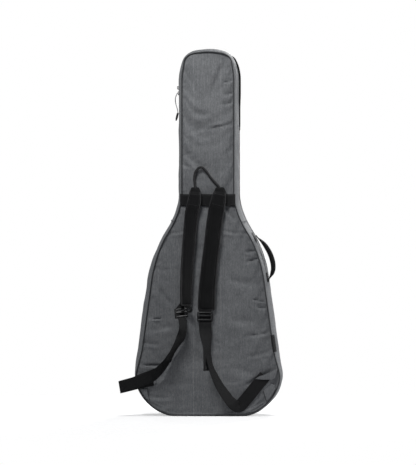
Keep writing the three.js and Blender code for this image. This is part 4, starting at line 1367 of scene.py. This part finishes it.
def buckle(side):
    """A ladder lock, drawn across x, up z, its face towards -y: two curved rails and four bars."""
    parts = []
    t = np.linspace(-1, 1, 13)
    for way in (-1, 1):
        path = np.column_stack([way * (21.4 + 0.9 * (1 - t**2)), -0.8 * (1 - t**2), 14.6 * t])
        parts.append(loft(bar_sections(path, np.tile([1.0, 0, 0], (13, 1)), 4.2, 4.6)))
    t = np.linspace(-1, 1, 15)
    for z, tall, deep, y, bow in ((13.0, 3.4, 4.2, -1.2, -0.8), (3.4, 4.2, 3.8, -1.6, -0.6),
                                  (-9.4, 4.0, 4.2, -2.2, -1.2), (-14.2, 2.6, 3.0, 1.6, 0.0)):
        path = np.column_stack([21.2 * t, y + bow * (1 - t**2), np.full(15, z)])
        parts.append(loft(bar_sections(path, np.tile([0, 0, 1.0], (15, 1)), tall, deep, 0.34)))
    parts += [block((1.4, 1.0, 2.2), 0.3, (-16 + 4 * k, -4.9, -9.4)) for k in range(9)]
    data = placed(joined(parts), buckle_place(side))
    make(f"ladder_lock_{side}", data, PLASTIC, f"adjuster_{side}", "black_plastic", [f"buckle_{side}"])


def in_buckle(side, points, width, thick, lean):
    """Webbing in a buckle's own space: points are (height, depth), depth away from the bag.

    lean carries it sideways above the buckle.
    """
    rows, s = spline([(lean * max(h - 15, 0), -d, h) for h, d in points], 1.6)
    across = np.tile([1.0, 0, 0], (len(rows), 1))
    out = unit(np.cross(across, tangents(rows)))
    data = loft(ribbon_sections(rows, across, out, np.full(len(rows), width), np.full(len(rows), thick)), u=s * MM)
    return placed(data, buckle_place(side))


def keeper(side):
    """The short webbing sewn into the strap's end and folded round the buckle's top bar."""
    points = [(34, 1.6), (24, 2.2), (19, 2.4), (15.4, 1.2), (11.6, -2.0), (9.6, -2.8), (9.0, -4.0), (10.6, -5.2),
              (14.0, -4.4), (18.4, -1.6), (24, -0.4), (34, -0.2)]
    width, lean = (37.0, 0.0) if side == "right" else (34.0, 0.95)
    data = in_buckle(side, points, width, 1.7, lean)
    make(f"keeper_webbing_{side}", data, WEB, f"strap_{side}", "webbing", [f"strap_keeper_{side}"])
    if side == "left":
        bend, _ = spline([(-70, -99, 336), (-62, -101, 338), (-54, -102, 335), (-49, -101, 328), (-51, -99, 322),
                          (-57, -97, 321)], 1.6)
        curl = loft(bar_sections(bend, np.tile([0, 1.0, 0], (len(bend), 1)), 11.0, 6.4))
        make("folded_webbing_end_left", curl, WEB, "strap_left", "webbing")


# x, z, lift, turn and width; the first steps lie in the buckle
TAIL_PATHS = {
    "left": [(-82.6, 324, 5.8, 0.74, 34), (-82.0, 313, 5.8, 0.74, 34), (-80.4, 305, 7.3, 0.77, 35),
             (-77.0, 297, 10.5, 0.84, 36), (-74.0, 285, 14.4, 0.97, 37),
             (-73.6, 270, 15.6, 1.0, 37), (-75.8, 257, 14.6, 0.92, 37), (-81.0, 244, 13.6, 0.86, 37),
             (-88.0, 231, 12.6, 1.06, 37), (-97.5, 213, 12.0, 1.2, 37), (-109, 192, 12.0, 1.22, 37),
             (-122, 170, 12.0, 1.12, 37)],
    "right": [(-7.4, 313, 5.0, 0, 35), (-7.4, 302, 5.0, 0, 35), (-7.4, 295, 5.6, 0, 37.5),
              (-7.0, 284, 8.8, 0, 38), (-6.6, 268, 9.0, 0.06, 38), (-5.2, 248, 9.0, 0.42, 38),
              (-3.6, 232, 9.6, 0.74, 38), (-2.8, 214, 11.5, 0.96, 38),
              (-2.6, 196, 14.0, 1.1, 38), (-2.4, 176, 16.4, 1.15, 38), (-2.4, 158, 17.0, 1.16, 38),
              (-2.4, 141, 17.2, 1.16, 38)],
}


def tail(side):
    """The free end of the webbing below its buckle, folded over and sewn at its end."""
    data, (centre, across, out, width, thick, s) = flat_strip(TAIL_PATHS[side], 140 + len(side), 1.8, 0.7, 0.6)
    k = s > s[-1] - 15
    fold = ribbon_sections(centre[k] + out[k] * 1.9, across[k], out[k], width[k] * 0.985, thick[k], 0.7)
    make(f"webbing_end_{side}", joined([data, loft(fold, u=s[k] * MM)]), WEB, f"adjuster_{side}", "webbing",
         [f"webbing_tail_{side}"])
    lines = []
    share = np.linspace(-0.86, 0.86, 9)[:, None]
    for at in (s[-1] - 12.5, s[-1] - 9.5):
        i = int(np.argmin(np.abs(s - at)))
        line = centre[i] + share * width[i] / 2 * across[i] + 3.4 * out[i]
        lines.append(seam(line, np.tile(out[i], (9, 1)), 2.8, 2.2, 0.8, 0.7))
    make(f"webbing_end_stitching_{side}", joined(lines), BLACK_THREAD, f"adjuster_{side}", "webbing")


def lower_webbing():
    """The webbing from each wing to its buckle, folded flat once near the wing."""
    over = 2 * PIPING_R + 2 * GAP
    second = over + 2.6
    left_root = [(-168, 112, 2.0), (-186, 109, 2.4), (-204, 105, over), (-232, 98, over), (-266, 89.4, over)]
    left = [(-262, 90.4, over + 0.1), (-268.4, 88.8, over + 0.2), (-270.2, 88.3, over + 1.3), (-268.4, 89, second),
            (-250, 94.5, second + 0.4), (-225, 101.5, second + 0.2), (-199, 112.5, second - 0.4, 0.14),
            (-176, 121.5, second - 2, 0.46), (-158, 132, 5.2, 0.84), (-143, 146, 4.4, 1.0), (-130, 161, 4.2, 1.08),
            (-116, 182, 4.0, 1.2), (-103, 204, 4.0, 1.24), (-95.0, 217, 4.0, 1.2), (-86.5, 233, 4.4, 1.06),
            (-80.5, 247, 5.2, 0.96), (-75.8, 262, 6.6, 1.0), (-73.4, 280, 8.0, 0.98, 37),
            (-75.4, 295, 9.0, 0.86, 36)]
    right_root = [(97, 29, 2.0), (112, 46, 2.0), (132, 70, 2.1), (152, 95, 2.2), (166, 112, 1.4), (176, 124, 0.6)]
    right = [(103, 37, 2.2, 0, 36), (96.8, 30.6, 2.6, 0, 37), (94.5, 29.4, 4.2, 0, 36), (89, 31, 5.2, 0.2, 35),
             (75, 42, 5.2, 0.7, 36), (57.5, 64, 4.8, 0.86), (40, 91, 4.2, 0.96), (25, 118, 3.6, 1.08),
             (14.5, 142, 3.4, 1.18), (8.5, 163, 3.2, 1.22), (4, 184, 3.0, 1.18), (0.6, 203, 2.8, 1.06),
             (-1.6, 220, 2.6, 0.86), (-3.6, 238, 2.6, 0.54), (-5.6, 256, 2.6, 0.2), (-7, 280, 3.0, 0, 37),
             (-7.4, 296, 4.0, 0, 36)]
    for side, root, run, start, end in (
        ("left", left_root, left, (-0.2, -0.09, 0.11), (-0.082, -0.09, 0.276)),
        ("right", right_root, right, (0.085, -0.09, 0.045), (-0.006, -0.09, 0.276)),
    ):
        data, _ = flat_strip(root, 150, WEBBING_THICK, 0.3, 0.2)
        make(f"anchored_webbing_{side}", data, WEB, "shell", "webbing", [f"anchor_webbing_{side}"])
        data, _ = flat_strip(run, 160 + len(side), WEBBING_THICK, 0.5, 0.5)
        piece = make(f"adjusting_webbing_{side}", data, WEB, None, "webbing", [f"lower_webbing_{side}"])
        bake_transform(piece)


def puffed_patch(outline, depth, thick, rings=((0, 0.0), (0.4, 0.75), (1.4, 1.0), (3.2, 0.82), (6.0, 1.0))):
    """A sewn patch of cloth on the back panel: its edge rolled, a stitched line inside it."""
    points = np.array(outline, float)
    dense = []
    for a, b in zip(points, np.roll(points, -1, axis=0)):
        steps = max(2, int(np.linalg.norm(b - a) / 4))
        dense.extend(mix(a, b, t) for t in np.arange(steps) / steps)
    dense = np.array(dense)
    middle = dense.mean(axis=0)
    reach = np.linalg.norm(dense - middle, axis=1)
    sections = [np.column_stack([dense[:, 0], np.full(len(dense), depth + 1.0), dense[:, 1]])]
    for inset, share in rings:
        shrink = np.clip(1 - inset / reach, 0.05, 1)[:, None]
        flat = middle + (dense - middle) * shrink
        sections.append(np.column_stack([flat[:, 0], np.full(len(dense), depth - thick * share), flat[:, 1]]))
    return flat_map(loft(np.array(sections)))


def wings():
    """The triangles of cloth in the side seams that the lower webbing is sewn to."""
    shapes = {
        "left": [(-186, 84), (-184, 70), (-179, 49), (-188, 52), (-199, 66), (-208, 84)],
        "right": [(171, 78), (175, 64), (181, 47), (189, 54), (200, 68), (208, 84), (204, 96), (196, 100)],
    }
    for side, outline in shapes.items():
        data = puffed_patch(outline, BACK_Y - 0.4, 2.4)
        make(f"wing_cloth_{side}", data, CLOTH, "shell", "heather_cloth", [f"wing_{side}"])
        seam_ends = np.array(outline[:3], float)
        line = np.vstack([mix(a, b, np.linspace(0, 1, 9)[:, None]) for a, b in zip(seam_ends, seam_ends[1:])])
        path = np.column_stack([line[:, 0], np.full(len(line), BACK_Y - 1.6), line[:, 1]])
        make(f"wing_binding_{side}", tube(path, 1.25, 8), PIPING, "shell", "trim")


def anchor_flaps():
    """The panel's cloth puckered over the ends of the anchored webbing."""
    shapes = {
        "right": [(146, 115), (158, 113.5), (172, 112.5), (186, 113), (199, 112),
                  (206, 117), (211, 130), (213, 147),
                  (203, 142), (190, 134), (174, 128), (158, 123)],
        "left": [(-184, 93), (-172, 96), (-160, 99), (-156, 104), (-158, 112), (-166, 113), (-178, 109),
                 (-190, 104)],
    }
    for side, outline in shapes.items():
        data = puffed_patch(outline, BACK_Y - FLAP_DEPTHS[side], 2.4)
        make(f"anchor_flap_{side}", data, CLOTH_BACK, "shell", "heather_cloth")


def anchor_band():
    """The band across the back, with the straps over it, sewn along both edges."""
    half = BAND_HALF + BAND_PAST
    x = np.linspace(-half, half, 70)
    rise = 0.5 * ripples(x, 60.0, 171)
    z = np.linspace(BAND_Z[0], BAND_Z[1], 15)
    swell = 3.0 + 2.0 * selvedge(np.linspace(-1, 1, 15), 8)
    ends = 0.45 + 0.55 * smooth((half - np.abs(x)) / 7.0)
    outer = [np.column_stack([np.full(15, a), BACK_Y - swell * e, z + r]) for a, e, r in zip(x, ends, rise)]
    inner = [np.column_stack([np.full(15, a), np.full(15, BACK_Y + 0.3), z + r]) for a, r in zip(x, rise)]
    data = sandwich(np.array(outer), np.array(inner), x * MM)
    make("anchor_band_webbing", data, BAND_WEB, "shell", "webbing", ["strap_anchor_band"])
    lines = []
    inside = np.abs(x) < BAND_HALF + 5
    for level in (BAND_Z[0] + 3.0, BAND_Z[1] - 3.0):
        path = np.column_stack([x, np.full(len(x), BACK_Y - 5.0), level + rise])[inside]
        lines.append(seam(path, np.tile([0.0, -1.0, 0.0], (len(path), 1)), 3.6, 2.7, 0.8, 0.6))
    make("anchor_band_stitching", joined(lines), BLACK_THREAD, "shell", "webbing")


def gusset_patch(start, end, near, far, lift, thick):
    """A thin patch on the right of the rear gusset between two heights and two depths, its middle line
    and its stations."""
    rows, s = stations_between(length_at(start), length_at(end), 2.5)
    plane = zip_y(rows[:, 1])
    top, foot = [], []
    for y, e in zip(np.linspace(near, far, 13), selvedge(np.linspace(-1, 1, 13), 10)):
        side = (plane - y) / (plane - BACK_Y)
        bulge = REAR_BULGE * np.sin(np.pi * np.clip(side, 0, 1)) ** 0.8
        for store, level in ((top, bulge + lift + thick * (0.35 + 0.65 * e)), (foot, bulge + lift * 0.2)):
            depth = -level + FLARE * side * flare_share(rows[:, 1])
            store.append(np.column_stack([rows[:, 0] + rows[:, 2] * depth, np.full(len(rows), y),
                                          rows[:, 1] + rows[:, 3] * depth]))
    top, foot = np.stack(top, axis=1), np.stack(foot, axis=1)
    return sandwich(top, foot, s * MM), top[:, 6], rows


# along the handle's middle line: x, z, thickness and width
HANDLE_PATH = [(146.5, 556, 2.2, 24), (152.5, 548, 3.4, 24), (160, 541, 7.0, 24), (169, 532, 11.0, 25),
               (180, 517, 14.0, 27), (189, 501, 15.0, 28), (196, 482, 15.2, 28), (199.6, 463, 15.0, 28),
               (199.2, 448, 14.0, 27), (195.5, 436.5, 11.0, 25), (190.5, 427.5, 6.0, 24), (186.5, 419, 3.0, 24),
               (184.6, 411, 2.2, 24)]


def carry_handle():
    """The padded handle on the right shoulder, and the sewn tabs at its two feet."""
    rows, s = spline([(x, HANDLE_Y, z, thick, width) for x, z, thick, width in HANDLE_PATH], 3.0)
    centre, thick, width = rows[:, :3], rows[:, 3], rows[:, 4]
    across = np.tile([0.0, 1.0, 0.0], (len(centre), 1))
    out = unit(np.cross(tangents(centre), across))
    u, v = squared(angles(28), 0.72)
    wave = 1 + 0.03 * ripples(s, 26.0, 181)
    sections = (
        centre[:, None] + (u[None] * (width / 2)[:, None])[:, :, None] * across[:, None]
        + (v[None] * (thick * wave / 2)[:, None])[:, :, None] * out[:, None]
    )
    pad = make("handle_pad", loft(sections, u=s * MM), STRAP, None, "strap_pad", ["side_handle"])
    middle = (s > 28) & (s < s[-1] - 28)
    line = centre - out * (thick / 2 + 0.1)[:, None]
    stitches = seam(line[middle], -out[middle], 3.4, 2.6, 0.8, 0.7)
    inside = make("handle_seam", stitches, BLACK_THREAD, None, "strap_pad")
    for piece in (pad, inside):
        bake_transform(piece)
    for name, start, end in (("upper", 538.0, 565.0), ("lower", 412.0, 441.0)):
        data, line, rows = gusset_patch(start, end, HANDLE_Y - 14, HANDLE_Y + 14, 0.3, 1.9)
        make(f"handle_foot_{name}", data, WEB, "shell", "webbing", [f"handle_tab_{name}"])
        rim = [seam(line + np.array([0, y, 0]), -inwards(rows), 3.0, 2.3, 0.8, 0.7) for y in (-10.5, 10.5)]
        make(f"handle_foot_stitching_{name}", joined(rim), BLACK_THREAD, "shell", "webbing")


def side_tag():
    """A folded tag sewn into the seam: from the back panel over the piping and onto the side wall."""
    rows, s = stations_between(length_at(TAG_Z[0]), length_at(TAG_Z[1]), 2.5)
    profile = [(5.0, 1, -1.6), (4.8, 1, -3.4), (4.0, 1, -5.2), (2.4, 1, -6.2), (0.6, 1, -5.4),
               (-0.6, 1, -2.9), (-1.3, 1, 0.4), (-2.9, 0.94, 0), (-4.0, 0.85, 0)]
    line = gusset_rings(rows, profile, back_y)
    out = unit(np.cross(unit(np.gradient(line, axis=1)), unit(np.gradient(line, axis=0))))
    out *= np.sign(np.sum(out * np.array([0.6, -0.8, 0]), axis=2, keepdims=True))
    data = sandwich(line + 0.9 * out, line - 0.1 * out, s * MM)
    make("blank_side_tag", data, TAG, "shell", "webbing", ["side_tag"])


# ---------------------------------------------------------------- the lid's pockets
POCKETS = {
    "body_pocket": {"bottom": 52, "top": 420, "half": (178, 150), "radius": 90, "slider": -142, "swell": 6.5},
    "head_pocket": {"bottom": 720, "top": 1020, "half": (66, 66), "radius": 24, "slider": -58, "swell": 4.0},
}


def pocket_grid(bottom, top, half, radius, rows, columns):
    """Rows of points across a pocket with round lower corners: x and z arrays (rows, columns)."""
    z = np.linspace(bottom, top, rows)
    t = np.clip((z - bottom - radius) / (top - bottom - radius), 0, 1)
    low = np.clip((z - bottom) / radius, 0, 1)
    wide = mix(half[0], half[1], t) - radius * (1 - np.sqrt(np.clip(1 - (1 - low) ** 2, 0, 1)))
    return wide[:, None] * spread(columns, 0.9)[None], np.broadcast_to(z[:, None], (rows, columns)).copy()


def pockets():
    """The lid's two pockets: cloth, binding, seam, zip and slider."""
    for seed, (name, p) in enumerate(POCKETS.items()):
        x, z = pocket_grid(p["bottom"], p["top"], p["half"], p["radius"], 110, 70)
        edges = [np.column_stack([x[k], z[k]]) for k in ((slice(None), 0), (slice(None), -1), (0,), (-1,))]
        gap = distance_to(np.concatenate(edges), x, z)
        points = np.stack([x, z], -1)
        folds = 1.3 * waves(points, 120.0, 201 + seed, 2) + 0.5 * waves(points, 40.0, 205 + seed, 2)
        level = 1.2 + p["swell"] * (1 - np.exp(-gap / 26.0)) + folds * smooth(gap / 12.0)
        pleat = 0.9 * np.exp(-(((gap - 9.0) / 1.6) ** 2))
        data = slab(x, z, front_y(z) + level - pleat, front_y(z) + 0.2)
        piece = make(f"{name}_cloth", data, CLOTH, "lid", "heather_cloth", [name])
        left, right, foot, _ = edges
        rim = np.concatenate([left[::-1], foot, right])
        rim = rim[np.concatenate([[True], np.linalg.norm(np.diff(rim, axis=0), axis=1) > 0.3])]
        path, _ = spline(np.column_stack([rim[:, 0], front_y(rim[:, 1]) + 1.7, rim[:, 1]]), 4.0)
        make(f"{name}_binding", tube(path, 1.7, 8), PIPING, "lid", "trim")
        inner = path * (0.955, 1, 1) + np.array([0, 1.3, 0])
        inner[:, 2] = mix(inner[:, 2], p["top"], 0.02)
        stitches = seam(inner, np.tile([0.0, 1.0, 0.0], (len(inner), 1)))
        make(f"{name}_seam", stitches, GREY_THREAD, "lid", "heather_cloth")
        pocket_zip(name, p["half"][1], p["top"] + GAP)
        which = name.split("_")[0]
        out, up = (0, 1, 0), (0, 0, 1)
        centre, _ = node_centre(f"{name}_slider")
        data = placed(slider(8.0, 12.0, 3.6), facing_out(centre, out, (-1, 0, 0)))
        make(f"{which}_pocket_zip_slider", data, METAL, f"{which}_zip_slider", "zip_metal", [f"{name}_slider"])
        centre, _ = node_centre(f"{name}_pull")
        data = placed(pull_tab(5.0, 23.6, 1.5), facing_out(centre - Vector((0, 0, 1.2)), out, up))
        make(f"{which}_pocket_zip_pull", data, METAL, f"{which}_zip_pull", "zip_metal", [f"{name}_pull"])


def pocket_zip(name, half, low):
    """Tape, coil and welt of a pocket's zip: half its length, and the height that it starts at."""
    zs = np.linspace(low, low + 12.0, 9)
    fall = 0.5 * np.abs(np.linspace(-1, 1, 9))
    run = np.linspace(-half, half, 60)
    top = np.array([np.column_stack([np.full(9, a), front_y(zs) + 1.9 + fall, zs]) for a in run])
    foot = np.array([np.column_stack([np.full(9, a), front_y(zs) + 0.3, zs]) for a in run])
    make(f"{name}_zip_tape", sandwich(top, foot, run * MM), ZIP_TAPE, "lid", "webbing", [f"{name}_zip"])
    tooth = block((1.3, 0.9, 2.6), 0.3)
    at = np.arange(-half + 5, half - 5, 1.9)
    z = low + 6.0 + 0.45 * np.where(np.arange(len(at)) % 2, 1, -1)
    axes = [np.tile(a, (len(at), 1)) for a in ([1.0, 0, 0], [0, 1.0, 0], [0, 0, 1.0])]
    coil = scatter(tooth, np.column_stack([at, front_y(z) + 2.5, z]), *axes)
    make(f"{name}_zip_coil", coil, PLASTIC, "lid", "black_plastic")
    flap = np.column_stack([run, front_y(low + 13.0) + 2.6 + 0 * run, np.full(60, low + 13.2)])
    make(f"{name}_zip_welt", tube(flap, 2.2, 10, 0.8), CLOTH, "lid", "heather_cloth")


# ---------------------------------------------------------------- inside
def soft_block(node, name, bevel, notch=None):
    """A plush-covered block of foam inside the shell, perhaps with a notch (width, depth) in its top."""
    centre, size = node_centre(node)
    bm = rounded_cube(size, bevel, 4)
    bmesh.ops.subdivide_edges(bm, edges=[e for e in bm.edges if e.calc_length() > 12], cuts=9, use_grid_fill=True)
    points, faces, uv = from_bmesh(bm)
    if notch:
        dip = notch[1] * np.exp(-np.abs(points[:, 0] / notch[0]) ** 4)
        points[:, 1] -= dip * smooth((points[:, 1] + size[1] / 2) / size[1])
    points += 0.5 * waves(points, 45.0, 221, 2)[:, None] * unit(points)
    return make(name, placed((points, faces, uv), Matrix.Translation(centre)), PLUSH, "shell", "plush", [node])


def inside():
    """What holds the guitar: a block under it, a rest under its neck, and the strap over that."""
    soft_block("base_block", "guitar_base_block", 5.0)
    soft_block("neck_rest", "guitar_neck_rest", 4.0, (24.0, 14.0))
    for node, name, body in (("neck_strap", "guitar_neck_strap", "neck_tie"),
                             ("neck_strap_hook", "neck_strap_patch", "shell")):
        centre, size = node_centre(node)
        rows = np.linspace(-size.x / 2, size.x / 2, 30)
        z = np.linspace(-1, 1, 11)
        swell = size.y / 2 * (0.35 + 0.65 * selvedge(z, 10))
        top, foot = [np.array([np.column_stack([np.full(11, r), way * swell, z * size.z / 2]) for r in rows])
                     for way in (1, -1)]
        data = sandwich(top, foot, rows * MM)
        make(name, placed(data, Matrix.Translation(centre)), WEB, body, "webbing", [node])


def floor():
    """The disc that the bag stands on."""
    radii = np.linspace(0.001, FLOOR_REACH / MM, 24)
    angle = angles(48)
    rings = [np.column_stack([r * np.cos(angle), r * np.sin(angle), np.full(48, -0.1)]) for r in radii]
    make("studio_floor", loft(np.array(rings), caps=None), pale_floor())


camera()
studio()
main_sliders()
haul_loop()
panels()
gussets()
pipings()
waist_joins()
main_zip()
zip_edge()
hinge()
anchor_band()
for each in ("left", "right"):
    strap(each)
    buckle(each)
    keeper(each)
    tail(each)
lower_webbing()
wings()
anchor_flaps()
carry_handle()
side_tag()
pockets()
inside()
floor()
